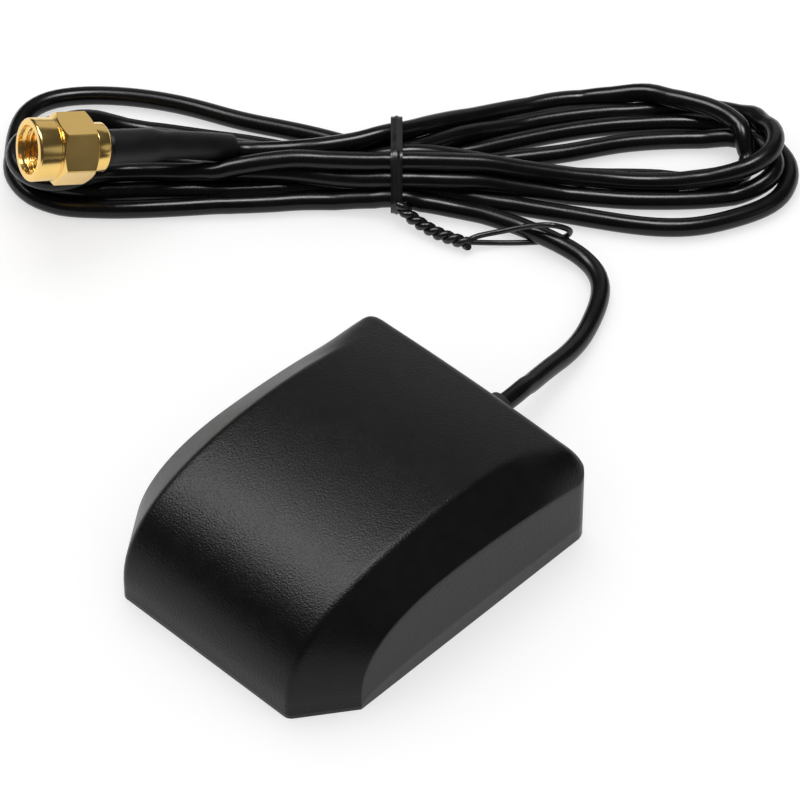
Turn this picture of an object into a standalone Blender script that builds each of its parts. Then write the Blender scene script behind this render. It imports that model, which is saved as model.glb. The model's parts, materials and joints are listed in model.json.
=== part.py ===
"""A GPS puck antenna with its coaxial lead wound in a tied hank and a screw-on plug.

Everything is in metres, +Z up. The origin is under the middle of the case, on the surface
that it stands on. The lead leaves the case towards +Y.
"""

import math

import bmesh
import bpy
from mathutils import Matrix, Vector

# Clearances
FIT_GAP = 0.0003
MERGE = 0.00001

# Case, outside
CASE_WIDTH = 0.0370
CASE_DEPTH = 0.0455
CASE_HEIGHT = 0.0161
CROWN_PEAK_Y = 0.0020
CROWN_BACK_FALL = 0.0036
CROWN_BOW = 0.0004
CROWN_REACH = 0.0110
CROWN_FULLNESS = 0.0112
BEVEL_WIDTH = 0.0050
SHOULDER_HEIGHT = 0.0115
SHOULDER_PEAK_Y = -0.0010
SHOULDER_BACK_FALL = 0.0026
SHOULDER_REACH = 0.0065
SHOULDER_FULLNESS = 0.0075
NOSE_SETBACK = 0.0069
NOSE_HEIGHT = 0.0024
BACK_CORNER_RADIUS = 0.0022
BACK_SWELL = 3.5
SWELL_START = 0.0110
BACK_FILLET = 0.0018
EDGE_ROUND = 0.0007

# Case, inside
WALL = 0.0018
SKIRT_WALL = 0.0008
BASE_THICKNESS = 0.0014
GASKET_THICKNESS = 0.0006
BOSS_WALL = 0.0005
EDGE_LAND = 0.0003
BACK_SCREW_INSET = 0.0057
NOSE_SCREW_INSET = 0.0102

# Case screws
SCREW_RADIUS = 0.0008
SCREW_LENGTH = 0.0062
SCREW_HEAD_RADIUS = 0.0014
SCREW_HEAD_HEIGHT = 0.0006
SCREW_HEAD_DEPTH = 0.0001
DRIVE_WIDTH = 0.0005

# Magnets
MAGNET_THICKNESS = 0.0020
MAGNET_APART = 0.0030
MAGNET_SIDE_ROOM = 0.0022
MAGNET_Y = 0.0010
MAGNET_FLOOR = 0.0005
MAGNET_RIB = 0.0007

# Board, can and ceramic
BOARD_THICKNESS = 0.0008
BOARD_BACK_ROOM = 0.0022
BOARD_NOSE_ROOM = 0.0100
POST_RADIUS = 0.0012
POST_INSET = 0.0017
CAN_WALL = 0.0003
CAN_SIDE_ROOM = 0.0011
CAN_NOSE_ROOM = 0.0020
CAN_LEAD_ROOM = 0.0016
CAN_FLOOR_ROOM = 0.0005
CHIP_SIZE = 0.0022
CHIP_HEIGHT = 0.0008
FILTER_SIZE = 0.0038
FILTER_HEIGHT = 0.0012
CHIP_SIDE_ROOM = 0.0016
PATCH_END_MARGIN = 0.0005
ROOF_ROOM = 0.0008
FACE_MARGIN = 0.0020
FACE_THICKNESS = 0.00015
FACE_CLIP = 0.0018
FEED_OFFSET = 0.0025
FEED_RADIUS = 0.0004
FEED_HEAD_RADIUS = 0.0009
FEED_HEAD_HEIGHT = 0.0003
FEED_STUB = 0.0005

# Lead and its strain relief
CORD_DIAMETER = 0.00240
BRAID_RADIUS = 0.0007
BRAID_LENGTH = 0.0060
WIRE_RADIUS = 0.00025
WIRE_LENGTH = 0.0020
GROMMET_WALL = 0.0005
GROMMET_LIP = 0.00072
GROMMET_FLANGE_THICKNESS = 0.0010
GROMMET_REACH = 0.0045
GROMMET_TAPER = 0.0002
CORD_STEP = 0.0052

# Hank, in its own frame: X along it, Y away from the case
HANK_CENTRE = (-0.0380, 0.0484)
HANK_ANGLE = math.radians(44.0)
HANK_LAYERS = 3
HANK_OUTLINE = (
    (0.0505, 0.0008), (0.0481, -0.0041), (0.0427, -0.0071), (0.0350, -0.0080), (0.0252, -0.0071),
    (0.0175, -0.0060), (0.0107, -0.0056), (0.0049, -0.0045), (0.0, -0.0037), (-0.0078, -0.0034),
    (-0.0175, -0.0036), (-0.0330, -0.0047), (-0.0432, -0.0036), (-0.0497, 0.0026), (-0.0482, 0.0085),
    (-0.0432, 0.0114), (-0.0311, 0.0110), (-0.0184, 0.0082), (-0.0078, 0.0059), (0.0, 0.0051),
    (0.0078, 0.0078), (0.0146, 0.0106), (0.0233, 0.0132), (0.0325, 0.0139), (0.0408, 0.0125),
    (0.0476, 0.0080),
)

# Twist tie, in the hank's frame
TIE_WIDTH = 0.0017
TIE_THICKNESS = 0.0007
TIE_CORNER = 0.0016
TIE_NEAR = -0.0042
TIE_FAR = 0.0056
TIE_CLEAR = 0.0002
TIE_WIRE_RADIUS = 0.00036
TIE_TWIST_PITCH = 0.0034
TIE_TWIST_RADIUS = 0.00032
TIE_NECK = ((0.0005, -0.0048, 0.0027), (0.0017, -0.0060, 0.0016), (0.0051, -0.0085, 0.0011),
            (0.0091, -0.0105, 0.0011))
TIE_LOWER_LEG = ((0.0085, -0.0102, 0.0011), (0.0123, -0.0113, 0.0006), (0.0177, -0.0113, 0.00045),
                 (0.0219, -0.0108, 0.0007), (0.0234, -0.0106, 0.0018))
TIE_UPPER_LEG = ((0.0234, -0.0106, 0.0014), (0.0233, -0.0105, 0.0030), (0.0219, -0.0103, 0.0042),
                 (0.0177, -0.0102, 0.0043), (0.0128, -0.0104, 0.0029), (0.0087, -0.0103, 0.0013))

# Plug: its own axis runs from the lead to the mouth, from the back of the nut
PLUG_MOUTH = (-0.0655, 0.0117, 0.0142)
PLUG_TILT = math.radians(17.2)
PLUG_HEADING = math.radians(-113.4)
NUT_ROLL = math.radians(20.0)
NUT_LENGTH = 0.0100
NUT_HEX_LENGTH = 0.0063
NUT_WALL = 0.0007
NUT_CORNER_CUT = 0.0007
NUT_NOSE_STEP = 0.00005
NUT_NOSE_ROUND = 0.0003
NUT_THREAD_ROOM = 0.0005
NUT_MOUTH_FLARE = 0.0004
NUT_LIP = 0.0014
RING_LENGTH = 0.0006
RING_WALL = 0.0005
RING_GROOVE_DEPTH = 0.0004
RING_GAP_ANGLE = math.radians(24.0)
WASHER_LENGTH = 0.0006
WASHER_WALL = 0.00035
SHELL_RADIUS = 0.00235
SHELL_LENGTH = 0.0065
SHELL_WALL = 0.00035
GROOVE_WALL = 0.00045
GROOVE_LAND = 0.0007
COLLAR_LIP = 0.00075
COLLAR_LENGTH = 0.0019
COLLAR_CUT = 0.0004
COLLAR_WEB = 0.0007
BARREL_BORE = 0.00045
BARREL_WALL = 0.0004
BARREL_LENGTH = 0.0050
CONTACT_RADIUS = 0.00046
CONTACT_REACH = 0.0019
CONTACT_TIP = 0.0007
FERRULE_WALL = 0.0004
FERRULE_LENGTH = 0.0056
SLEEVE_WALL = 0.0003
SLEEVE_END = 0.0180
TAIL_REACH = 0.0010

# Fineness of the round shapes
BACK_STEPS = 6
FLANK_STEPS = 5
NOSE_STEPS = 12
TURN_STEPS = 32
FINE_STEPS = 20
CORD_SIDES = 2

# Sizes that follow from those above
HALF_WIDTH = CASE_WIDTH / 2
BACK = CASE_DEPTH / 2
NOSE = -CASE_DEPTH / 2
BEVEL_ANGLE = math.atan2(CASE_HEIGHT - SHOULDER_HEIGHT, BEVEL_WIDTH)
CHAMFER_ANGLE = math.atan2(NOSE_SETBACK, BEVEL_WIDTH)
LEDGE_HEIGHT = BASE_THICKNESS + GASKET_THICKNESS + 2 * FIT_GAP
PLATE_INSET = SKIRT_WALL + FIT_GAP
SCREW_HOLE = SCREW_RADIUS + FIT_GAP
BOSS_RADIUS = SCREW_HOLE + BOSS_WALL
SCREW_X = HALF_WIDTH - PLATE_INSET - EDGE_LAND - FIT_GAP - SCREW_HEAD_RADIUS
SCREW_PLACES = [(side * SCREW_X, y) for y in (BACK - BACK_SCREW_INSET, NOSE + NOSE_SCREW_INSET)
                for side in (-1, 1)]

CORD_RADIUS = CORD_DIAMETER / 2
BORE_RADIUS = CORD_RADIUS + FIT_GAP
GROMMET_RADIUS = BORE_RADIUS + GROMMET_WALL
GROMMET_FLANGE_RADIUS = GROMMET_RADIUS + GROMMET_LIP
FLANGE_BACK = BACK - WALL - FIT_GAP
FLANGE_FRONT = FLANGE_BACK - GROMMET_FLANGE_THICKNESS
GROMMET_END = BACK + GROMMET_REACH
LEAD_HEIGHT = BASE_THICKNESS + 2 * FIT_GAP + GROMMET_FLANGE_RADIUS
WIRE_END = FLANGE_FRONT - FIT_GAP - BRAID_LENGTH - WIRE_LENGTH
HANK_HEIGHT = HANK_LAYERS * CORD_DIAMETER
TIE_TOP = HANK_HEIGHT + TIE_CLEAR + TIE_THICKNESS

RIB_EDGE = HALF_WIDTH - WALL - MAGNET_SIDE_ROOM
MAGNET_X = (RIB_EDGE + MAGNET_APART / 2) / 2
MAGNET_RADIUS = RIB_EDGE - MAGNET_X - MAGNET_RIB - FIT_GAP
MAGNET_TOP = MAGNET_FLOOR + FIT_GAP + MAGNET_THICKNESS
BOARD_BOTTOM = LEAD_HEIGHT + BRAID_RADIUS + FIT_GAP
BOARD_TOP = BOARD_BOTTOM + BOARD_THICKNESS
BOARD_HALF = SCREW_X - BOSS_RADIUS - FIT_GAP
BOARD_BACK = BACK - WALL - BOARD_BACK_ROOM
BOARD_NOSE = NOSE + BOARD_NOSE_ROOM
POST_X = BOARD_HALF - POST_INSET
CAN_HALF = POST_X - POST_RADIUS - CAN_SIDE_ROOM
CAN_NOSE = BOARD_NOSE + CAN_NOSE_ROOM
CAN_BACK = WIRE_END - CAN_LEAD_ROOM
CAN_BOTTOM = MAGNET_TOP + CAN_FLOOR_ROOM
CAN_TOP = BOARD_BOTTOM - FIT_GAP
PATCH_BACK = BOARD_BACK - PATCH_END_MARGIN
PATCH_NOSE = BOARD_NOSE + PATCH_END_MARGIN
FEED_Y = (PATCH_BACK + PATCH_NOSE) / 2 - FEED_OFFSET

NUT_BACK_BORE = SHELL_RADIUS + FIT_GAP
NUT_THREAD_RADIUS = SHELL_RADIUS + NUT_THREAD_ROOM
RING_START = NUT_LIP + FIT_GAP
RING_END = RING_START + RING_LENGTH
RING_BORE = SHELL_RADIUS - RING_GROOVE_DEPTH + FIT_GAP
RING_RADIUS = RING_BORE + RING_WALL
WASHER_START = RING_END + 2 * FIT_GAP
WASHER_END = WASHER_START + WASHER_LENGTH
WASHER_BORE = SHELL_RADIUS + FIT_GAP
WASHER_RADIUS = WASHER_BORE + WASHER_WALL
NUT_HALF = WASHER_RADIUS + FIT_GAP + NUT_WALL
NUT_CORNER = NUT_HALF / math.cos(math.pi / 6)
NUT_NOSE_RADIUS = NUT_HALF - NUT_NOSE_STEP
SHELL_BORE = SHELL_RADIUS - SHELL_WALL
REAR_BORE = SHELL_RADIUS - RING_GROOVE_DEPTH - GROOVE_WALL
REAR_BORE_END = RING_END + FIT_GAP + GROOVE_LAND
COLLAR_RADIUS = SHELL_RADIUS + COLLAR_LIP
COLLAR_BACK = -FIT_GAP - COLLAR_LENGTH
INSULATOR_BACK = COLLAR_BACK + COLLAR_WEB + FIT_GAP
CONTACT_END = SHELL_LENGTH + CONTACT_REACH
BARREL_RADIUS = BARREL_BORE + BARREL_WALL
FERRULE_BORE = BARREL_RADIUS + FIT_GAP
FERRULE_RADIUS = FERRULE_BORE + FERRULE_WALL
FERRULE_FRONT = COLLAR_BACK - FIT_GAP
FERRULE_BACK = FERRULE_FRONT - FERRULE_LENGTH
SLEEVE_BORE = FERRULE_RADIUS + FIT_GAP
SLEEVE_NECK_BORE = CORD_RADIUS + FIT_GAP
TAIL_FRONT = FERRULE_BACK - FIT_GAP
TAIL_BACK = -SLEEVE_END - TAIL_REACH


def clear_scene():
    for obj in list(bpy.data.objects):
        bpy.data.objects.remove(obj, do_unlink=True)


def make_collection(name):
    collection = bpy.data.collections.new(name)
    bpy.context.scene.collection.children.link(collection)
    return collection


def make_material(name, colour, roughness, metallic=0.0):
    material = bpy.data.materials.new(name)
    material.use_nodes = True
    shader = material.node_tree.nodes["Principled BSDF"]
    shader.inputs["Base Color"].default_value = (*colour, 1.0)
    shader.inputs["Roughness"].default_value = roughness
    shader.inputs["Metallic"].default_value = metallic
    material.diffuse_color = (*colour, 1.0)
    return material


# Putting pieces and cutters in the scene

def add_piece(name, mesh, material=None, parent=None):
    obj = bpy.data.objects.new(name, mesh)
    if material is None:
        cutters.objects.link(obj)
        obj.hide_render = True
        obj.display_type = "WIRE"
    else:
        antenna.objects.link(obj)
        obj.data.materials.append(material)
    obj.parent = parent
    return obj


def add_frame(name, place, turn):
    frame = bpy.data.objects.new(name, None)
    antenna.objects.link(frame)
    frame.location = place
    frame.rotation_euler = turn
    return frame


def combine(target, other, operation):
    step = target.modifiers.new(operation.title() + "_" + other.name, "BOOLEAN")
    step.operation = operation
    step.object = other
    step.solver = "EXACT"
    return target


def cut(target, *others):
    for other in others:
        combine(target, other, "DIFFERENCE")
    return target


def mesh_from(bm, name):
    mesh = bpy.data.meshes.new(name)
    bmesh.ops.recalc_face_normals(bm, faces=bm.faces)
    bm.to_mesh(mesh)
    bm.free()
    return mesh


def box(name, size, centre, material=None, parent=None):
    bm = bmesh.new()
    bmesh.ops.create_cube(bm, size=1.0, matrix=Matrix.Translation(centre) @ Matrix.Diagonal((*size, 1)))
    return add_piece(name, mesh_from(bm, name), material, parent)


def rod(name, radius, start, end, material=None, parent=None, steps=FINE_STEPS):
    """A cylinder between two points."""
    start, end = Vector(start), Vector(end)
    along = end - start
    turn = along.to_track_quat("Z", "Y").to_matrix().to_4x4()
    bm = bmesh.new()
    bmesh.ops.create_cone(bm, cap_ends=True, segments=steps, radius1=radius, radius2=radius,
                          depth=along.length, matrix=Matrix.Translation((start + end) / 2) @ turn)
    return add_piece(name, mesh_from(bm, name), material, parent)


def turned(name, profile, material=None, parent=None, steps=TURN_STEPS):
    """A (radius, height) profile turned about local Z. It runs clockwise: down the outside."""
    mesh = bpy.data.meshes.new(name)
    count = len(profile)
    edges = [(i, i + 1) for i in range(count - 1)]
    if profile[0][0] > 0:
        edges.append((count - 1, 0))
    mesh.from_pydata([(radius, 0, height) for radius, height in profile], edges, [])
    obj = add_piece(name, mesh, material, parent)
    turn = obj.modifiers.new("Turn", "SCREW")
    turn.steps = turn.render_steps = steps
    turn.use_merge_vertices = True
    turn.merge_threshold = MERGE
    turn.use_smooth_shade = True
    return obj


def curve_mesh(curve, name, shift=(0, 0, 0)):
    """The welded mesh of a curve."""
    drawn = bpy.data.objects.new(name + "_curve", curve)
    bpy.context.scene.collection.objects.link(drawn)
    bpy.context.view_layer.update()
    graph = bpy.context.evaluated_depsgraph_get()
    mesh = bpy.data.meshes.new_from_object(drawn.evaluated_get(graph))
    bpy.data.objects.remove(drawn, do_unlink=True)
    bm = bmesh.new()
    bm.from_mesh(mesh)
    bmesh.ops.remove_doubles(bm, verts=bm.verts, dist=MERGE)
    bmesh.ops.translate(bm, verts=bm.verts, vec=shift)
    bpy.data.meshes.remove(mesh)
    return mesh_from(bm, name)


def slab(name, loops, low, high, material=None, parent=None, rounded=False):
    """A flat outline, with any holes after it, given a thickness from low to high."""
    curve = bpy.data.curves.new(name, "CURVE")
    curve.dimensions = "2D"
    curve.fill_mode = "BOTH"
    curve.extrude = (high - low) / 2
    for loop in loops:
        spline = curve.splines.new("BEZIER" if rounded else "POLY")
        points = spline.bezier_points if rounded else spline.points
        points.add(len(loop) - 1)
        for point, (x, y) in zip(points, loop):
            if rounded:
                point.co = (x, y, 0)
                point.handle_left_type = point.handle_right_type = "AUTO"
            else:
                point.co = (x, y, 0, 1)
        spline.use_cyclic_u = True
        spline.resolution_u = 6
    return add_piece(name, curve_mesh(curve, name, (0, 0, (low + high) / 2)), material, parent)


def tube_curve(name, points, radius):
    curve = bpy.data.curves.new(name, "CURVE")
    curve.dimensions = "3D"
    curve.bevel_depth = radius
    curve.bevel_resolution = CORD_SIDES
    curve.use_fill_caps = True
    spline = curve.splines.new("POLY")
    spline.points.add(len(points) - 1)
    for point, place in zip(spline.points, points):
        point.co = (*place, 1)
    return curve


def smooth_path(points, spacing):
    """Even points along a smooth curve through the given ones."""
    ends = [Vector(p) for p in points]
    ends = [2 * ends[0] - ends[1]] + ends + [2 * ends[-1] - ends[-2]]
    fine = []
    for a, b, c, d in zip(ends, ends[1:], ends[2:], ends[3:]):
        for i in range(20):
            t = i / 20
            fine.append(0.5 * (2 * b + (c - a) * t + (2 * a - 5 * b + 4 * c - d) * t * t
                               + (3 * b - a - 3 * c + d) * t * t * t))
    fine.append(ends[-2])
    lengths = [0.0]
    for a, b in zip(fine, fine[1:]):
        lengths.append(lengths[-1] + (b - a).length)
    count = max(2, round(lengths[-1] / spacing))
    path, at = [], 0
    for i in range(count + 1):
        want = lengths[-1] * i / count
        while at < len(fine) - 2 and lengths[at + 1] < want:
            at += 1
        part = (want - lengths[at]) / max(lengths[at + 1] - lengths[at], MERGE)
        path.append(fine[at].lerp(fine[at + 1], min(1.0, part)))
    return path


def ring_profile(bore, radius, low, high):
    return [(bore, high), (radius, high), (radius, low), (bore, low)]


# Case

def side_profile(peak, back, nose, reach, fullness):
    """(y, z) from the back wall over the peak to the upright nose."""
    points = []
    for i in range(FLANK_STEPS):
        far = 1 - i / FLANK_STEPS
        points.append((peak[0] + (back[0] - peak[0]) * far, peak[1] - (peak[1] - back[1]) * far * far))
    corners = [Vector(peak), Vector((peak[0] - reach, peak[1])), Vector((nose[0], nose[1] + fullness)),
               Vector(nose)]
    for i in range(NOSE_STEPS + 1):
        t = i / NOSE_STEPS
        blend = ((1 - t) ** 3, 3 * t * (1 - t) ** 2, 3 * t * t * (1 - t), t ** 3)
        points.append(tuple(sum((c * w for c, w in zip(corners, blend)), Vector((0, 0)))))
    return points


def round_corner(before, corner, after, setback):
    """Three points that round off a corner."""
    first = corner + (before - corner) * min(0.45, setback / (before - corner).length)
    last = corner + (after - corner) * min(0.45, setback / (after - corner).length)
    return [first, (first + last) / 4 + corner / 2, last]


def case_row(crown, shoulder, half, ridge, drop, inset):
    """The roof line at one place along the case, from the left wall's foot to the right one's."""
    bow = CROWN_BOW * max(0.0, crown[1] - NOSE_HEIGHT) / CASE_HEIGHT
    full_half = HALF_WIDTH - inset
    swell = max(0.0, (crown[0] - SWELL_START) / (BACK - SWELL_START)) ** 2

    def bevel_point(share):
        """On the bevel, from the wall to the ridge; the bevel swells out towards the back."""
        rise = 1 - (1 - share) ** (1 + BACK_SWELL * swell)
        return Vector((full_half - (full_half - ridge) * share, shoulder[0] + (crown[0] - shoulder[0]) * share,
                       shoulder[1] + (crown[1] - shoulder[1]) * rise - drop))

    first = (full_half - half) / (full_half - ridge)
    edge = bevel_point(first)
    foot = Vector((half, edge.y, 0))
    outer, middle_bevel = bevel_point(first + (1 - first) * 0.12), bevel_point(first + (1 - first) * 0.40)
    top = Vector((ridge, crown[0], crown[1] - drop))
    inner = Vector((ridge / 2, crown[0], crown[1] - drop + 0.75 * bow))
    middle = Vector((0, crown[0], crown[1] - drop + bow))
    right = [middle, inner] + round_corner(inner, top, middle_bevel, EDGE_ROUND)
    right += [middle_bevel, outer] + round_corner(outer, edge, foot, EDGE_ROUND) + [foot]
    left = [Vector((-p.x, p.y, p.z)) for p in reversed(right[1:])]
    return left + right


def case_rows(inset):
    """Roof lines from the back wall to the nose, inset evenly from the outside."""
    back, nose = BACK - inset, NOSE + inset
    ridge = HALF_WIDTH - BEVEL_WIDTH - inset * math.tan(BEVEL_ANGLE / 2)
    lower = inset * math.tan((math.pi / 2 - BEVEL_ANGLE) / 2)
    radius = max(BACK_CORNER_RADIUS - inset, MERGE * 20)
    fillet = max(BACK_FILLET - inset, MERGE * 20)
    shoulder_nose = NOSE + NOSE_SETBACK + inset * math.tan((math.pi / 2 - CHAMFER_ANGLE) / 2)
    crown = side_profile((CROWN_PEAK_Y, CASE_HEIGHT - inset), (back, CASE_HEIGHT - inset - CROWN_BACK_FALL),
                         (nose, NOSE_HEIGHT), CROWN_REACH, CROWN_FULLNESS - 0.7 * inset)
    shoulder = side_profile((SHOULDER_PEAK_Y, SHOULDER_HEIGHT - lower),
                            (back, SHOULDER_HEIGHT - lower - SHOULDER_BACK_FALL),
                            (shoulder_nose, NOSE_HEIGHT), SHOULDER_REACH, SHOULDER_FULLNESS - 0.7 * lower)
    rows = []
    for i in range(BACK_STEPS):
        angle = math.radians(90 * (1 - i / BACK_STEPS))
        y = back - radius + radius * math.sin(angle)
        half = HALF_WIDTH - inset - radius + radius * math.cos(angle)
        into = max(0.0, y - (back - fillet))
        drop = fillet - math.sqrt(max(0.0, fillet * fillet - into * into))
        share = (y - back) / (back - CROWN_PEAK_Y)
        crown_z = CASE_HEIGHT - inset - CROWN_BACK_FALL * (1 + share) ** 2
        share = (y - back) / (back - SHOULDER_PEAK_Y)
        shoulder_z = SHOULDER_HEIGHT - lower - SHOULDER_BACK_FALL * (1 + share) ** 2
        rows.append(case_row((y, crown_z), (y, shoulder_z), half, min(ridge, half - MERGE), drop, inset))
    flat = back - radius
    for high, low in zip(crown, shoulder):
        if high[0] < flat - MERGE:
            rows.append(case_row(high, low, HALF_WIDTH - inset, ridge, 0.0, inset))
    return rows


def case_form(name, inset, foot, material=None):
    """The case's closed outer form, or the same form inset, with its foot at the given height."""
    rows = case_rows(inset)
    bm = bmesh.new()
    grid = []
    for row in rows:
        for end in (0, -1):
            row[end].z = foot
        grid.append([bm.verts.new(p) for p in row])
    for row, following in zip(grid, grid[1:]):
        for i in range(len(row) - 1):
            bm.faces.new((row[i], row[i + 1], following[i + 1], following[i]))
        bm.faces.new((row[-1], row[0], following[0], following[-1]))
    bm.faces.new(grid[0])
    front = grid[-1]
    feet = [front[0]] + [bm.verts.new((v.co.x, v.co.y, foot)) for v in front[2:-2]] + [front[-1]]
    edges = [front[0]] + front[2:-2] + [front[-1]]
    bm.faces.new((front[0], front[1], front[2], feet[1]))
    for i in range(1, len(feet) - 2):
        bm.faces.new((edges[i], edges[i + 1], feet[i + 1], feet[i]))
    bm.faces.new((front[-3], front[-2], front[-1], feet[-2]))
    bm.faces.new(feet)
    return add_piece(name, mesh_from(bm, name), material)


def plan_outline(inset):
    """The case's outline seen from above, inset evenly."""
    half, back, nose = HALF_WIDTH - inset, BACK - inset, NOSE + inset
    corner_x = HALF_WIDTH - BEVEL_WIDTH - inset * math.tan(CHAMFER_ANGLE / 2)
    side_y = NOSE + NOSE_SETBACK + inset * math.tan((math.pi / 2 - CHAMFER_ANGLE) / 2)
    radius = max(BACK_CORNER_RADIUS - inset, MERGE * 20)
    right = [(corner_x, nose), (half, side_y)]
    for i in range(BACK_STEPS + 1):
        angle = math.radians(90 * i / BACK_STEPS)
        right.append((half - radius + radius * math.cos(angle), back - radius + radius * math.sin(angle)))
    return right + [(-x, y) for x, y in reversed(right)]


def roof_height(y):
    """Height of the roof's inside along its ridge."""
    ridge = [(row[-8].y, row[-8].z) for row in case_rows(WALL)]
    for (y1, z1), (y2, z2) in zip(ridge, ridge[1:]):
        if y2 <= y <= y1:
            return z2 + (z1 - z2) * (y - y2) / (y1 - y2)
    return ridge[-1][1]


def make_cover(material):
    cover = case_form("top_cover", 0.0, 0.0, material)
    cavity = case_form("cavity", WALL, -WALL)
    skirt = slab("skirt_space", [plan_outline(SKIRT_WALL)], -WALL, LEDGE_HEIGHT)
    cut(cover, cavity, skirt)
    limit = case_form("boss_limit", WALL / 2, 0.0)
    hole_top = SCREW_HEAD_DEPTH + SCREW_HEAD_HEIGHT + SCREW_LENGTH + FIT_GAP
    for i, (x, y) in enumerate(SCREW_PLACES):
        boss = rod(f"boss_{i}", BOSS_RADIUS, (x, y, LEDGE_HEIGHT), (x, y, CASE_HEIGHT))
        combine(boss, limit, "INTERSECT")
        combine(cover, boss, "UNION")
        cut(cover, rod(f"boss_hole_{i}", SCREW_HOLE, (x, y, 0), (x, y, hole_top)))
    window = rod("lead_window", GROMMET_RADIUS + FIT_GAP, (0, BACK - 2 * WALL, LEAD_HEIGHT),
                 (0, BACK + WALL, LEAD_HEIGHT))
    return cut(cover, window)


def make_base(material):
    """A plate with two magnet pockets in ribs, and four posts that carry the board."""
    base = slab("base_plate", [plan_outline(PLATE_INSET)], 0.0, BASE_THICKNESS, material)
    root = BASE_THICKNESS / 2
    for i, (side, y) in enumerate(((-1, BOARD_NOSE + POST_INSET), (1, BOARD_NOSE + POST_INSET),
                                   (-1, BOARD_BACK - POST_INSET), (1, BOARD_BACK - POST_INSET))):
        combine(base, rod(f"post_{i}", POST_RADIUS, (side * POST_X, y, root),
                          (side * POST_X, y, BOARD_BOTTOM - FIT_GAP)), "UNION")
    pocket = MAGNET_RADIUS + FIT_GAP
    for x in (-MAGNET_X, MAGNET_X):
        combine(base, rod("magnet_rib", pocket + MAGNET_RIB, (x, MAGNET_Y, root),
                          (x, MAGNET_Y, MAGNET_TOP - FIT_GAP), steps=TURN_STEPS), "UNION")
        cut(base, rod("magnet_pocket", pocket, (x, MAGNET_Y, MAGNET_FLOOR), (x, MAGNET_Y, BOARD_TOP),
                      steps=TURN_STEPS))
    head_room = SCREW_HEAD_DEPTH + SCREW_HEAD_HEIGHT + FIT_GAP
    for x, y in SCREW_PLACES:
        cut(base, rod("head_recess", SCREW_HEAD_RADIUS + FIT_GAP, (x, y, -WALL), (x, y, head_room)),
            rod("base_hole", SCREW_HOLE, (x, y, -WALL), (x, y, 2 * WALL)))
    return base


def make_gasket(material):
    low = BASE_THICKNESS + FIT_GAP
    return slab("base_gasket", [plan_outline(PLATE_INSET), plan_outline(WALL)], low, low + GASKET_THICKNESS,
                material)


def make_screws(material):
    low = SCREW_HEAD_DEPTH
    head = low + SCREW_HEAD_HEIGHT
    top = head + SCREW_LENGTH
    profile = [(0, top), (SCREW_RADIUS / 2, top), (SCREW_RADIUS, top - SCREW_RADIUS), (SCREW_RADIUS, head),
               (SCREW_HEAD_RADIUS, head), (SCREW_HEAD_RADIUS, low), (0, low)]
    for i, (x, y) in enumerate(SCREW_PLACES):
        screw = turned(f"case_screw_{i + 1}", profile, material, steps=FINE_STEPS)
        screw.location = (x, y, 0)
        for size in ((DRIVE_WIDTH, SCREW_HEAD_RADIUS), (SCREW_HEAD_RADIUS, DRIVE_WIDTH)):
            cut(screw, box("drive", (*size, SCREW_HEAD_HEIGHT), (x, y, low)))


def make_magnets(material):
    low = MAGNET_FLOOR + FIT_GAP
    for x, name in ((-MAGNET_X, "magnet_left"), (MAGNET_X, "magnet_right")):
        rod(name, MAGNET_RADIUS, (x, MAGNET_Y, low), (x, MAGNET_Y, MAGNET_TOP), material, steps=TURN_STEPS)


def block(name, half, nose, back, low, high, material=None):
    """A box by its half width, its two ends and its two heights."""
    return box(name, (2 * half, back - nose, high - low), (0, (back + nose) / 2, (high + low) / 2), material)


def feed_hole(name, low, high):
    return rod(name, FEED_RADIUS + FIT_GAP, (0, FEED_Y, low - WALL), (0, FEED_Y, high + WALL), steps=16)


def make_board(material):
    board = block("circuit_board", BOARD_HALF, BOARD_NOSE, BOARD_BACK, BOARD_BOTTOM, BOARD_TOP, material)
    return cut(board, feed_hole("board_hole", BOARD_BOTTOM, BOARD_TOP))


def make_can(metal, chip_body):
    """An open-topped can under the board, with the filter and the amplifier in it."""
    can = block("shield_can", CAN_HALF, CAN_NOSE, CAN_BACK, CAN_BOTTOM, CAN_TOP, metal)
    cut(can, block("can_inside", CAN_HALF - CAN_WALL, CAN_NOSE + CAN_WALL, CAN_BACK - CAN_WALL,
                   CAN_BOTTOM + CAN_WALL, BOARD_TOP))
    middle = (CAN_NOSE + CAN_BACK) / 2
    for name, side, size, height in (("band_filter", -1, FILTER_SIZE, FILTER_HEIGHT),
                                     ("amplifier_chip", 1, CHIP_SIZE, CHIP_HEIGHT)):
        x = side * (CAN_HALF - CAN_WALL - CHIP_SIDE_ROOM - size / 2)
        box(name, (size, size, height), (x, middle, CAN_TOP - height / 2), chip_body)


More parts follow.
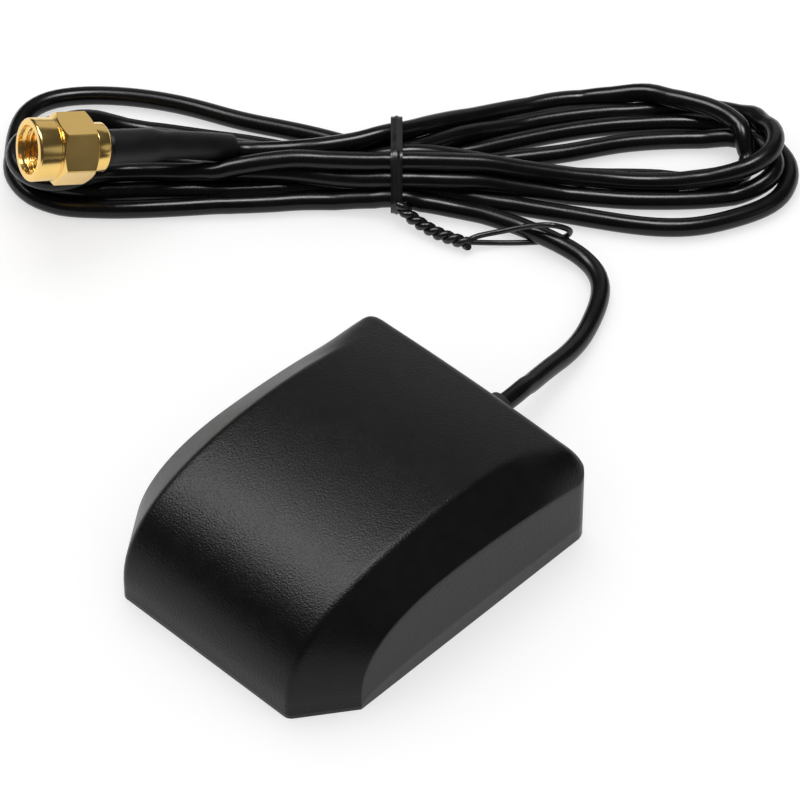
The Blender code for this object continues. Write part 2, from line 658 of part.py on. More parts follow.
def make_patch(ceramic, silver):
    """The ceramic fills the height under the roof's lowest point above it."""
    top = min(roof_height(PATCH_NOSE), roof_height(PATCH_BACK)) - ROOF_ROOM
    bottom = BOARD_TOP + FIT_GAP
    patch = block("ceramic_patch", BOARD_HALF, PATCH_NOSE, PATCH_BACK, bottom, top, ceramic)
    cut(patch, feed_hole("patch_hole", bottom, top))
    low = top + FIT_GAP
    high = low + FACE_THICKNESS
    half, nose, back = BOARD_HALF - FACE_MARGIN, PATCH_NOSE + FACE_MARGIN, PATCH_BACK - FACE_MARGIN
    outline = [(-half, nose), (half - FACE_CLIP, nose), (half, nose + FACE_CLIP), (half, back),
               (FACE_CLIP - half, back), (-half, back - FACE_CLIP)]
    face = slab("silver_face", [outline], low, high, silver)
    cut(face, feed_hole("face_hole", low, high))
    head = high + FIT_GAP
    head_top = head + FEED_HEAD_HEIGHT
    foot = BOARD_BOTTOM - FEED_STUB
    pin = turned("feed_pin", [(0, head_top), (FEED_HEAD_RADIUS / 2, head_top), (FEED_HEAD_RADIUS, head),
                              (FEED_RADIUS, head), (FEED_RADIUS, foot), (0, foot)], silver, steps=16)
    pin.location = (0, FEED_Y, 0)


# Lead, strain relief, hank and tie

def make_strain_relief(material):
    """Its flange bears on the inside of the back wall, its collar and tapered sleeve stand outside."""
    collar = BACK + FIT_GAP
    collar_end = collar + GROMMET_FLANGE_THICKNESS
    tip = GROMMET_RADIUS - GROMMET_TAPER
    profile = [(BORE_RADIUS, -FLANGE_FRONT), (GROMMET_FLANGE_RADIUS, -FLANGE_FRONT),
               (GROMMET_FLANGE_RADIUS, -FLANGE_BACK), (GROMMET_RADIUS, -FLANGE_BACK),
               (GROMMET_RADIUS, -collar), (GROMMET_FLANGE_RADIUS, -collar),
               (GROMMET_FLANGE_RADIUS, -collar_end), (GROMMET_RADIUS, -collar_end - GROMMET_TAPER),
               (tip, -GROMMET_END), (BORE_RADIUS, -GROMMET_END)]
    relief = turned("strain_relief", profile, material)
    relief.location = (0, 0, LEAD_HEIGHT)
    relief.rotation_euler = (math.pi / 2, 0, 0)


def make_lead_end(material):
    """The stripped end inside the case: braid, then bare wire, under the board."""
    start = FLANGE_FRONT - FIT_GAP
    braid_end = start - BRAID_LENGTH
    profile = [(0, -braid_end + WIRE_LENGTH), (WIRE_RADIUS, -braid_end + WIRE_LENGTH),
               (WIRE_RADIUS, -braid_end), (BRAID_RADIUS, -braid_end), (BRAID_RADIUS, -start), (0, -start)]
    end = turned("lead_end", profile, material, steps=16)
    end.location = (0, 0, LEAD_HEIGHT)
    end.rotation_euler = (math.pi / 2, 0, 0)


def lead_route():
    """Straight out of the strain relief, then down and round to the hank."""
    out = [(0, FLANGE_FRONT, LEAD_HEIGHT), (0, BACK, LEAD_HEIGHT), (0, GROMMET_END, LEAD_HEIGHT)]
    chosen = [(-0.0001, 0.0307, 0.0045), (-0.0010, 0.0350, 0.0038), (-0.0017, 0.0395, 0.0029),
              (-0.0024, 0.0434, 0.0022), (-0.0041, 0.0488, 0.0015), (-0.0057, 0.0523, 0.0013),
              (-0.0082, 0.0547, 0.0014), (-0.0110, 0.0555, 0.0018), (-0.0137, 0.0551, 0.0023),
              (-0.0162, 0.0545, 0.0025), (-0.0183, 0.0544, 0.0024), (-0.0200, 0.0545, 0.0020)]
    return out + chosen


def make_lead(material):
    points = smooth_path(lead_route(), CORD_STEP)
    add_piece("cable_lead", tube_curve("cable_lead", points, CORD_RADIUS), material)


def make_hank(material, frame, plug):
    low_side = TIE_CLEAR + TIE_THICKNESS + FIT_GAP
    hank = slab("cable_hank", [HANK_OUTLINE], 0.0, HANK_HEIGHT, material, frame, rounded=True)
    cut(hank, box("tie_space", (TIE_WIDTH + 2 * FIT_GAP, CASE_WIDTH, 2 * low_side), (0, 0, 0), parent=frame))
    cut(hank, rod("nut_space", NUT_CORNER + FIT_GAP, (0, 0, COLLAR_BACK), (0, 0, NUT_LENGTH), parent=plug),
        rod("plug_space", SLEEVE_BORE + SLEEVE_WALL + FIT_GAP, (0, 0, TAIL_BACK - FIT_GAP), (0, 0, 0),
            parent=plug))


def rounded_box(near, low, far, high, radius, steps=4):
    outline = []
    for x, y, start in ((far - radius, high - radius, 0), (near + radius, high - radius, 90),
                        (near + radius, low + radius, 180), (far - radius, low + radius, 270)):
        for i in range(steps + 1):
            angle = math.radians(start + 90 * i / steps)
            outline.append((x + radius * math.cos(angle), y + radius * math.sin(angle)))
    return outline


def twisted_pair(path, pitch, radius):
    """Two strands wound round a path, as lists of points."""
    travelled, strands = 0.0, ([], [])
    for i, place in enumerate(path):
        ahead = (path[min(i + 1, len(path) - 1)] - path[max(i - 1, 0)]).normalized()
        across = ahead.cross(Vector((0, 0, 1))).normalized()
        up = across.cross(ahead)
        if i:
            travelled += (place - path[i - 1]).length
        for strand, phase in zip(strands, (0, math.pi)):
            angle = 2 * math.pi * travelled / pitch + phase
            strand.append(place + radius * (math.cos(angle) * across + math.sin(angle) * up))
    return strands


def make_tie(material, frame):
    """A band round the hank, a twisted neck, and the open loop that holds the lead."""
    wall, clear = TIE_THICKNESS, TIE_CLEAR
    outer = rounded_box(TIE_NEAR - wall, clear, TIE_FAR + wall, TIE_TOP + wall, TIE_CORNER)
    inner = rounded_box(TIE_NEAR, clear + wall, TIE_FAR, TIE_TOP, TIE_CORNER - wall)
    tie = slab("twist_tie", [outer, inner], -TIE_WIDTH / 2, TIE_WIDTH / 2, material, frame)
    tie.rotation_euler = (math.pi / 2, 0, math.pi / 2)
    neck = smooth_path(TIE_NECK, TIE_TWIST_PITCH / 7)
    for i, strand in enumerate(twisted_pair(neck, TIE_TWIST_PITCH, TIE_TWIST_RADIUS)):
        mesh = curve_mesh(tube_curve("neck", strand, TIE_WIRE_RADIUS), f"tie_neck_{i}")
        combine(tie, add_piece(f"tie_neck_{i}", mesh, parent=frame), "UNION")
    for name, leg in (("lower_leg", TIE_LOWER_LEG), ("upper_leg", TIE_UPPER_LEG)):
        mesh = curve_mesh(tube_curve(name, smooth_path(leg, 3 * TIE_WIRE_RADIUS), TIE_WIRE_RADIUS), name)
        combine(tie, add_piece(name, mesh, parent=frame), "UNION")


# Plug, about its own axis

def make_nut(material, plug):
    """A chamfered hexagon with a round nose, bored for the ring, the washer and the thread."""
    length, hexagon = NUT_LENGTH, NUT_HEX_LENGTH
    nut = rod("coupling_nut", NUT_CORNER, (0, 0, 0), (0, 0, hexagon), material, plug, steps=6)
    nut.rotation_euler = (0, 0, NUT_ROLL)
    end, wide = NUT_CORNER - NUT_CORNER_CUT, NUT_CORNER + MERGE
    limit = turned("nut_corners", [(0, hexagon + MERGE), (end, hexagon + MERGE),
                                   (wide, hexagon - NUT_CORNER_CUT / 2), (wide, NUT_CORNER_CUT / 2),
                                   (end, -MERGE), (0, -MERGE)], parent=plug, steps=48)
    combine(nut, limit, "INTERSECT")
    nose = turned("nut_nose", [(0, length), (NUT_NOSE_RADIUS - NUT_NOSE_ROUND, length),
                               (NUT_NOSE_RADIUS, length - NUT_NOSE_ROUND), (NUT_NOSE_RADIUS, length / 2),
                               (0, length / 2)], parent=plug)
    combine(nut, nose, "UNION")
    thread, washer, ring = NUT_THREAD_RADIUS, WASHER_RADIUS + FIT_GAP, RING_RADIUS + FIT_GAP
    washer_end, ring_end = WASHER_END + FIT_GAP, RING_END + FIT_GAP
    bore = turned("nut_bore", [(0, length + WALL), (thread + NUT_MOUTH_FLARE + WALL, length + WALL),
                               (thread, length - NUT_MOUTH_FLARE), (thread, washer_end),
                               (washer, washer_end), (washer, ring_end), (ring, ring_end), (ring, NUT_LIP),
                               (NUT_BACK_BORE, NUT_LIP), (NUT_BACK_BORE, -WALL), (0, -WALL)], parent=plug)
    return cut(nut, bore)


def make_plug_body(material, plug):
    """Front shell, ring groove, collar and the rear barrel that the lead is crimped on."""
    groove = SHELL_RADIUS - RING_GROOVE_DEPTH
    barrel_end = FERRULE_FRONT - BARREL_LENGTH
    web = INSULATOR_BACK - FIT_GAP
    turned("plug_body", [
        (SHELL_BORE, SHELL_LENGTH), (SHELL_RADIUS, SHELL_LENGTH),
        (SHELL_RADIUS, RING_END + FIT_GAP), (groove, RING_END + FIT_GAP),
        (groove, RING_START - FIT_GAP), (SHELL_RADIUS, RING_START - FIT_GAP),
        (SHELL_RADIUS, -FIT_GAP), (COLLAR_RADIUS, -FIT_GAP), (COLLAR_RADIUS, COLLAR_BACK + COLLAR_CUT),
        (COLLAR_RADIUS - COLLAR_CUT, COLLAR_BACK), (BARREL_RADIUS, COLLAR_BACK),
        (BARREL_RADIUS, barrel_end), (BARREL_BORE, barrel_end), (BARREL_BORE, web), (REAR_BORE, web),
        (REAR_BORE, REAR_BORE_END), (SHELL_BORE, REAR_BORE_END)], material, plug)


def make_insulator(material, plug):
    bore, front, rear = CONTACT_RADIUS + FIT_GAP, SHELL_BORE - FIT_GAP, REAR_BORE - FIT_GAP
    step, face = REAR_BORE_END + FIT_GAP, SHELL_LENGTH - FIT_GAP
    turned("insulator", [(bore, face), (front, face), (front, step), (rear, step), (rear, INSULATOR_BACK),
                         (bore, INSULATOR_BACK)], material, plug)


def make_contact(material, plug):
    tip, back = CONTACT_END, INSULATOR_BACK + FIT_GAP
    turned("centre_contact", [(0, tip), (CONTACT_RADIUS * 0.3, tip),
                              (CONTACT_RADIUS * 0.8, tip - CONTACT_TIP / 2),
                              (CONTACT_RADIUS, tip - CONTACT_TIP), (CONTACT_RADIUS, back), (0, back)],
           material, plug, steps=FINE_STEPS)


def make_rings(metal, rubber, plug):
    ring = turned("retaining_ring", ring_profile(RING_BORE, RING_RADIUS, RING_START, RING_END), metal, plug)
    width = 2 * RING_RADIUS * math.sin(RING_GAP_ANGLE / 2)
    cut(ring, box("ring_gap", (2 * RING_RADIUS, width, 3 * RING_LENGTH),
                  (RING_RADIUS, 0, (RING_START + RING_END) / 2), parent=plug))
    turned("sealing_washer", ring_profile(WASHER_BORE, WASHER_RADIUS, WASHER_START, WASHER_END), rubber, plug)


def make_ferrule(material, plug):
    turned("crimp_ferrule", ring_profile(FERRULE_BORE, FERRULE_RADIUS, FERRULE_BACK, FERRULE_FRONT), material,
           plug, steps=FINE_STEPS)


def make_sleeve(material, plug):
    """Heat-shrink sleeve: wide over the ferrule, drawn in over the lead."""
    wide, neck = SLEEVE_BORE + SLEEVE_WALL, SLEEVE_NECK_BORE + SLEEVE_WALL
    step, back = TAIL_FRONT, -SLEEVE_END
    slope = back * 0.3 + step * 0.7
    turned("heat_shrink", [(SLEEVE_BORE, FERRULE_FRONT), (wide, FERRULE_FRONT), (wide, step), (neck, slope),
                           (neck, back), (SLEEVE_NECK_BORE, back), (SLEEVE_NECK_BORE, slope),
                           (SLEEVE_BORE, step)], material, plug, steps=FINE_STEPS)


def make_tail(material, plug):
    count = max(2, round((TAIL_FRONT - TAIL_BACK) / CORD_STEP))
    points = [Vector((0, 0, TAIL_FRONT + (TAIL_BACK - TAIL_FRONT) * i / count)) for i in range(count + 1)]
    add_piece("cable_tail", tube_curve("cable_tail", points, CORD_RADIUS), material, plug)


def make_antenna():
    black = make_material("moulded_black", (0.018, 0.018, 0.019), 0.5)
    base_black = make_material("base_black", (0.022, 0.022, 0.023), 0.6)
    jacket = make_material("cable_jacket", (0.012, 0.012, 0.013), 0.3)
    rubber = make_material("black_rubber", (0.02, 0.02, 0.02), 0.7)
    tie_black = make_material("tie_black", (0.02, 0.02, 0.022), 0.35)
    shrink = make_material("shrink_black", (0.015, 0.015, 0.016), 0.45)
    gold = make_material("gold_plate", (0.83, 0.58, 0.22), 0.22, 1.0)
    white = make_material("white_insulator", (0.85, 0.84, 0.80), 0.5)
    silver = make_material("fired_silver", (0.78, 0.77, 0.73), 0.4, 1.0)
    ceramic = make_material("patch_ceramic", (0.62, 0.55, 0.42), 0.6)
    green = make_material("board_green", (0.03, 0.20, 0.09), 0.45)
    steel = make_material("bright_steel", (0.62, 0.62, 0.63), 0.3, 1.0)
    chip = make_material("chip_black", (0.03, 0.03, 0.03), 0.5)
    red_rubber = make_material("seal_rubber", (0.55, 0.11, 0.05), 0.6)
    braid = make_material("tinned_braid", (0.6, 0.6, 0.58), 0.4, 1.0)

    make_cover(black)
    make_base(base_black)
    make_gasket(rubber)
    make_screws(steel)
    make_magnets(steel)
    make_board(green)
    make_can(steel, chip)
    make_patch(ceramic, silver)
    make_strain_relief(rubber)
    make_lead_end(braid)
    make_lead(jacket)

    heading = Vector((math.cos(PLUG_TILT) * math.cos(PLUG_HEADING),
                      math.cos(PLUG_TILT) * math.sin(PLUG_HEADING), math.sin(PLUG_TILT)))
    plug = add_frame("plug_axis", Vector(PLUG_MOUTH) - heading * NUT_LENGTH,
                     (0, math.pi / 2 - PLUG_TILT, PLUG_HEADING))
    hank_frame = add_frame("hank_frame", (*HANK_CENTRE, 0), (0, 0, HANK_ANGLE))
    make_hank(jacket, hank_frame, plug)
    make_tie(tie_black, hank_frame)
    make_nut(gold, plug)
    make_plug_body(gold, plug)
    make_insulator(white, plug)
    make_contact(gold, plug)
    make_rings(gold, red_rubber, plug)
    make_ferrule(gold, plug)
    make_sleeve(shrink, plug)
    make_tail(jacket, plug)


clear_scene()
antenna = make_collection("gps_antenna")
cutters = make_collection("cutters")
make_antenna()
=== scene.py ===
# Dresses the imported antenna: camera, cord, case, plug, tie, finishes, floor and lamps.
import json
import math

import bmesh
import bpy
import numpy as np
from mathutils import Matrix, Vector


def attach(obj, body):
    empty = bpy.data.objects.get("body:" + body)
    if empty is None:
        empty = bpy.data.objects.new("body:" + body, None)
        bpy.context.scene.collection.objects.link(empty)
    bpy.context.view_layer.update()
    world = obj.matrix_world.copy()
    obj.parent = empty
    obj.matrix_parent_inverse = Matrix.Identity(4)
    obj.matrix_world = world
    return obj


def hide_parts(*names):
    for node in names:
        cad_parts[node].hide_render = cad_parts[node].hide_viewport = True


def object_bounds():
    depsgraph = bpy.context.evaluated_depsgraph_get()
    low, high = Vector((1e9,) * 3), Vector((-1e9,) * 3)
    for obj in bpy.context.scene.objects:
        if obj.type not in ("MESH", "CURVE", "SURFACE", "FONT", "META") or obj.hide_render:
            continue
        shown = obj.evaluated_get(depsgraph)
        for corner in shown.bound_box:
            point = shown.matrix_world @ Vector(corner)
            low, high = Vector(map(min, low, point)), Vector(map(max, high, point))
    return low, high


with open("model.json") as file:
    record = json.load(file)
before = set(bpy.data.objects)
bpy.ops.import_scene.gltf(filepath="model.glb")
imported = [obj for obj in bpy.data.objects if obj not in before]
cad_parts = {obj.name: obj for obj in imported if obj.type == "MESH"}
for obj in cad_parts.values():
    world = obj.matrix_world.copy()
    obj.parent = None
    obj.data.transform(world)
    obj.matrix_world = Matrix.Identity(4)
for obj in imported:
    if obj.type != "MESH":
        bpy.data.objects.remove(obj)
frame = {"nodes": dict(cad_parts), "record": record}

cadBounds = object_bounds()
mm = 0.001
scene = bpy.context.scene
print("frame loaded")


# View
camera = {
    "azimuth": 43.99,       # degrees, 0 looks from the nose to the back wall
    "elevation": 45.98,
    "distance": 601.2,      # mm, from the point that the view turns about
    "right": 6.70,          # mm, the view's middle to the right of that point
    "up": 17.905,           # mm, and above it
    "lens": 230.24,
}


def makeCamera(s):
    a, e = math.radians(s["azimuth"]), math.radians(s["elevation"])
    right = Vector((math.cos(a), math.sin(a), 0))
    back = Vector((math.sin(a) * math.cos(e), -math.cos(a) * math.cos(e), math.sin(e)))
    up = back.cross(right)
    data = bpy.data.cameras.new("view")
    data.lens = s["lens"]
    data.sensor_width = 36
    data.clip_start = 0.01
    view = bpy.data.objects.new("view", data)
    scene.collection.objects.link(view)
    place = (back * s["distance"] + right * s["right"] + up * s["up"]) * mm
    view.matrix_world = Matrix.Translation(place) @ Matrix((right, up, back)).transposed().to_4x4()
    scene.camera = view


makeCamera(camera)
print("camera set")


# Making meshes
def addPiece(name, verts, faces, finish, sharp):
    mesh = bpy.data.meshes.new(name)
    mesh.from_pydata([tuple(v) for v in verts], [], faces)
    return addMesh(name, mesh, finish, sharp=sharp)


def addMesh(name, mesh, finish, body="antenna", sharp=35.0, place=None):
    bm = bmesh.new()
    bm.from_mesh(mesh)
    bmesh.ops.recalc_face_normals(bm, faces=bm.faces)
    bm.to_mesh(mesh)
    bm.free()
    mesh.materials.clear()
    mesh.materials.append(finish)
    smoothMesh(mesh, sharp)
    piece = bpy.data.objects.new(name, mesh)
    scene.collection.objects.link(piece)
    if place is not None:
        piece.matrix_world = place
    if body:
        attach(piece, body)
    return piece


def smoothMesh(mesh, sharp):
    mesh.shade_smooth()
    mesh.set_sharp_from_angle(angle=math.radians(sharp))


def gridFaces(rows, columns, closedRows=False, closedColumns=False):
    faces = []
    for i in range(rows if closedRows else rows - 1):
        for j in range(columns if closedColumns else columns - 1):
            a, b = i * columns, ((i + 1) % rows) * columns
            c, d = j, (j + 1) % columns
            faces.append((a + c, a + d, b + d, b + c))
    return faces


def turnedMesh(name, profile, steps=96, closed=True):
    # a (radius, z) profile turned about the z axis
    verts, count = [], len(profile)
    for i in range(steps):
        angle = 2 * math.pi * i / steps
        verts += [(r * math.cos(angle), r * math.sin(angle), s) for r, s in profile]
    mesh = bpy.data.meshes.new(name)
    mesh.from_pydata(verts, [], gridFaces(steps, count, True, closed))
    if not closed:
        bm = bmesh.new()
        bm.from_mesh(mesh)
        bmesh.ops.remove_doubles(bm, verts=bm.verts, dist=1e-7)
        bm.to_mesh(mesh)
        bm.free()
    return mesh


def softCorners(profile, size, steps=3):
    # rounds each corner of a closed (radius, s) profile
    soft = []
    for i, corner in enumerate(profile):
        here = Vector(corner)
        before, after = Vector(profile[i - 1]) - here, Vector(profile[(i + 1) % len(profile)]) - here
        reach = min(size, before.length * 0.45, after.length * 0.45)
        first, last = here + before.normalized() * reach, here + after.normalized() * reach
        for k in range(steps + 1):
            t = k / steps
            soft.append(tuple(first * (1 - t) ** 2 + here * 2 * t * (1 - t) + last * t * t))
    return soft


def smoothRoute(points, spacing):
    # even points along a smooth curve through the chosen ones
    p = np.array(points, float)
    p = np.vstack([2 * p[0] - p[1], p, 2 * p[-1] - p[-2]])
    fine = []
    for a, b, c, d in zip(p, p[1:], p[2:], p[3:]):
        t = np.linspace(0, 1, 24, endpoint=False)[:, None]
        fine.append(0.5 * (2 * b + (c - a) * t + (2 * a - 5 * b + 4 * c - d) * t ** 2
                           + (3 * b - a - 3 * c + d) * t ** 3))
    fine = np.vstack(fine + [p[-2:-1]])
    return evenPoints(fine, spacing)


def evenPoints(line, spacing):
    run = np.r_[0, np.cumsum(np.linalg.norm(np.diff(line, axis=0), axis=1))]
    wanted = np.linspace(0, run[-1], max(2, round(run[-1] / spacing)) + 1)
    return np.stack([np.interp(wanted, run, line[:, k]) for k in range(3)], axis=1)


def sweep(line, section, firstUp=(0, 0, 1)):
    # carries a closed (across, up) section along a line, with capped ends
    line = np.asarray(line, float)
    ahead = np.gradient(line, axis=0)
    ahead /= np.linalg.norm(ahead, axis=1)[:, None]
    up = np.array(firstUp, float)
    verts = []
    for p, t in zip(line, ahead):
        up = up - t * up.dot(t)
        up /= np.linalg.norm(up)
        across = np.cross(t, up)
        verts += [p + (x * across + y * up) for x, y in section]
    n = len(section)
    faces = gridFaces(len(line), n, False, True)
    faces += [tuple(range(n)), tuple(range((len(line) - 1) * n, len(line) * n))]
    return verts, faces


def circle(radius, steps):
    return [(radius * math.cos(2 * math.pi * i / steps), radius * math.sin(2 * math.pi * i / steps))
            for i in range(steps)]


# Effects that several finishes share
def newGroup(name, inputs, outputs):
    group = bpy.data.node_groups.new(name, "ShaderNodeTree")
    for socket, kind, value in inputs:
        made = group.interface.new_socket(name=socket, in_out="INPUT", socket_type=kind)
        made.default_value = value
    for socket, kind in outputs:
        group.interface.new_socket(name=socket, in_out="OUTPUT", socket_type=kind)
    return group, group.nodes.new("NodeGroupInput"), group.nodes.new("NodeGroupOutput")


def makeGrainGroup():
    # a fine moulded or plated grain, with slow unevenness under it
    group, given, made = newGroup(
        "surfaceGrain",
        [("Fine Scale", "NodeSocketFloat", 6000.0), ("Slow Scale", "NodeSocketFloat", 300.0),
         ("Slow Share", "NodeSocketFloat", 0.3)],
        [("Height", "NodeSocketFloat"), ("Mask", "NodeSocketFloat")])
    nodes, links = group.nodes, group.links
    where = nodes.new("ShaderNodeTexCoord")
    fine, slow = nodes.new("ShaderNodeTexNoise"), nodes.new("ShaderNodeTexNoise")
    fine.inputs["Detail"].default_value = 3.0
    slow.inputs["Detail"].default_value = 4.0
    mix = nodes.new("ShaderNodeMix")
    for noise, scale in ((fine, "Fine Scale"), (slow, "Slow Scale")):
        links.new(where.outputs["Object"], noise.inputs["Vector"])
        links.new(given.outputs[scale], noise.inputs["Scale"])
    links.new(given.outputs["Slow Share"], mix.inputs["Factor"])
    links.new(fine.outputs["Fac"], mix.inputs["A"])
    links.new(slow.outputs["Fac"], mix.inputs["B"])
    links.new(mix.outputs["Result"], made.inputs["Height"])
    links.new(slow.outputs["Fac"], made.inputs["Mask"])
    return group


def makeShiftGroup():
    # moves a colour and a roughness between two values by a mask
    group, given, made = newGroup(
        "finishDrift",
        [("Mask", "NodeSocketFloat", 0.5), ("Colour", "NodeSocketColor", (0.5, 0.5, 0.5, 1)),
         ("Far Colour", "NodeSocketColor", (0.5, 0.5, 0.5, 1)), ("Roughness", "NodeSocketFloat", 0.4),
         ("Far Roughness", "NodeSocketFloat", 0.5)],
        [("Colour", "NodeSocketColor"), ("Roughness", "NodeSocketFloat")])
    nodes, links = group.nodes, group.links
    spread = nodes.new("ShaderNodeMapRange")
    spread.inputs["From Min"].default_value = 0.35
    spread.inputs["From Max"].default_value = 0.65
    links.new(given.outputs["Mask"], spread.inputs["Value"])
    tint = nodes.new("ShaderNodeMix")
    tint.data_type = "RGBA"
    links.new(spread.outputs["Result"], tint.inputs["Factor"])
    links.new(given.outputs["Colour"], tint.inputs["A"])
    links.new(given.outputs["Far Colour"], tint.inputs["B"])
    links.new(tint.outputs["Result"], made.inputs["Colour"])
    rough = nodes.new("ShaderNodeMix")
    links.new(spread.outputs["Result"], rough.inputs["Factor"])
    links.new(given.outputs["Roughness"], rough.inputs["A"])
    links.new(given.outputs["Far Roughness"], rough.inputs["B"])
    links.new(rough.outputs["Result"], made.inputs["Roughness"])
    return group


grainGroup = makeGrainGroup()
driftGroup = makeShiftGroup()

finishes = {
    # colour, far colour, roughness, far roughness, metallic, fine scale, slow scale, slow share,
    # bump in mm, and how far the surface mirrors where it isn't the usual 0.5
    "moulded_black": ((0.0038, 0.0038, 0.0039), (0.0052, 0.0052, 0.0053), 0.31, 0.33, 0.0, 4300, 500,
                      0.04, 0.060, 0.2),
    "base_black": ((0.008, 0.008, 0.0085), (0.013, 0.013, 0.0135), 0.55, 0.66, 0.0, 4200, 300, 0.25, 0.030),
    "black_rubber": ((0.006, 0.006, 0.006), (0.011, 0.011, 0.011), 0.52, 0.66, 0.0, 3600, 400, 0.35, 0.020),
    "bright_steel": ((0.60, 0.60, 0.61), (0.68, 0.68, 0.69), 0.24, 0.38, 1.0, 3000, 260, 0.40, 0.006),
    "board_green": ((0.020, 0.150, 0.065), (0.035, 0.215, 0.095), 0.34, 0.48, 0.0, 2600, 500, 0.50, 0.010),
    "chip_black": ((0.024, 0.024, 0.025), (0.034, 0.034, 0.035), 0.45, 0.58, 0.0, 6000, 700, 0.30, 0.008),
    "patch_ceramic": ((0.58, 0.51, 0.38), (0.66, 0.59, 0.46), 0.52, 0.66, 0.0, 5200, 420, 0.35, 0.012),
    "fired_silver": ((0.74, 0.73, 0.69), (0.82, 0.81, 0.77), 0.34, 0.48, 1.0, 7000, 500, 0.30, 0.008),
    "tinned_braid": ((0.55, 0.55, 0.53), (0.66, 0.66, 0.64), 0.34, 0.50, 1.0, 4200, 900, 0.40, 0.020),
    "cable_jacket": ((0.0030, 0.0030, 0.0032), (0.0042, 0.0042, 0.0044), 0.22, 0.28, 0.0, 2600, 260,
                     0.65, 0.007, 0.3),
    "tie_black": ((0.004, 0.004, 0.0042), (0.008, 0.008, 0.0085), 0.28, 0.40, 0.0, 3000, 500, 0.45, 0.020),
    "shrink_black": ((0.0032, 0.0032, 0.0035), (0.005, 0.005, 0.0053), 0.42, 0.48, 0.0, 3600, 420,
                     0.45, 0.016, 0.3),
    "gold_plate": ((0.90, 0.60, 0.19), (0.92, 0.63, 0.22), 0.20, 0.22, 1.0, 5200, 420, 0.35, 0.003),
    "white_insulator": ((0.80, 0.79, 0.75), (0.88, 0.87, 0.83), 0.44, 0.56, 0.0, 5200, 420, 0.35, 0.006),
    "seal_rubber": ((0.48, 0.09, 0.04), (0.60, 0.13, 0.06), 0.50, 0.64, 0.0, 4200, 420, 0.35, 0.010),
}


def makeFinish(name, colour, farColour, rough, farRough, metallic, fine, slow, share, bump, mirror=0.5):
    material = bpy.data.materials.new(name)
    material.use_nodes = True
    nodes, links = material.node_tree.nodes, material.node_tree.links
    shader = nodes["Principled BSDF"]
    shader.inputs["Metallic"].default_value = metallic
    shader.inputs["Specular IOR Level"].default_value = mirror
    grain, drift = nodes.new("ShaderNodeGroup"), nodes.new("ShaderNodeGroup")
    grain.node_tree, drift.node_tree = grainGroup, driftGroup
    grain.inputs["Fine Scale"].default_value = fine
    grain.inputs["Slow Scale"].default_value = slow
    grain.inputs["Slow Share"].default_value = share
    drift.inputs["Colour"].default_value = (*colour, 1)
    drift.inputs["Far Colour"].default_value = (*farColour, 1)
    drift.inputs["Roughness"].default_value = rough
    drift.inputs["Far Roughness"].default_value = farRough
    relief = nodes.new("ShaderNodeBump")
    relief.inputs["Distance"].default_value = bump * mm
    links.new(grain.outputs["Mask"], drift.inputs["Mask"])
    links.new(grain.outputs["Height"], relief.inputs["Height"])
    links.new(drift.outputs["Colour"], shader.inputs["Base Color"])
    links.new(drift.outputs["Roughness"], shader.inputs["Roughness"])
    links.new(relief.outputs["Normal"], shader.inputs["Normal"])
    return material


made = {name: makeFinish(name, *values) for name, values in finishes.items()}
for name, node in frame["nodes"].items():
    slot = next(s["material_slot"] for s in frame["record"]["subparts"] if s["node"] == name)
    node.data.materials.clear()
    node.data.materials.append(made[slot])
print("finishes made")


# Where the plug is: its own z axis runs from the back of the nut to the mouth
plugPlace = {"mouth": (-65.5, 11.7, 14.2), "tilt": 17.2, "heading": -113.4, "nutLength": 8.0}


def plugMatrix(s):
    tilt, heading = math.radians(s["tilt"]), math.radians(s["heading"])
    axis = Vector((math.cos(tilt) * math.cos(heading), math.cos(tilt) * math.sin(heading), math.sin(tilt)))
    back = (Vector(s["mouth"]) - axis * s["nutLength"]) * mm
    turn = Matrix.Rotation(heading, 4, "Z") @ Matrix.Rotation(math.pi / 2 - tilt, 4, "Y")
    return Matrix.Translation(back) @ turn, np.array(back), np.array(axis)


plugFrame, plugBack, plugAxis = plugMatrix(plugPlace)


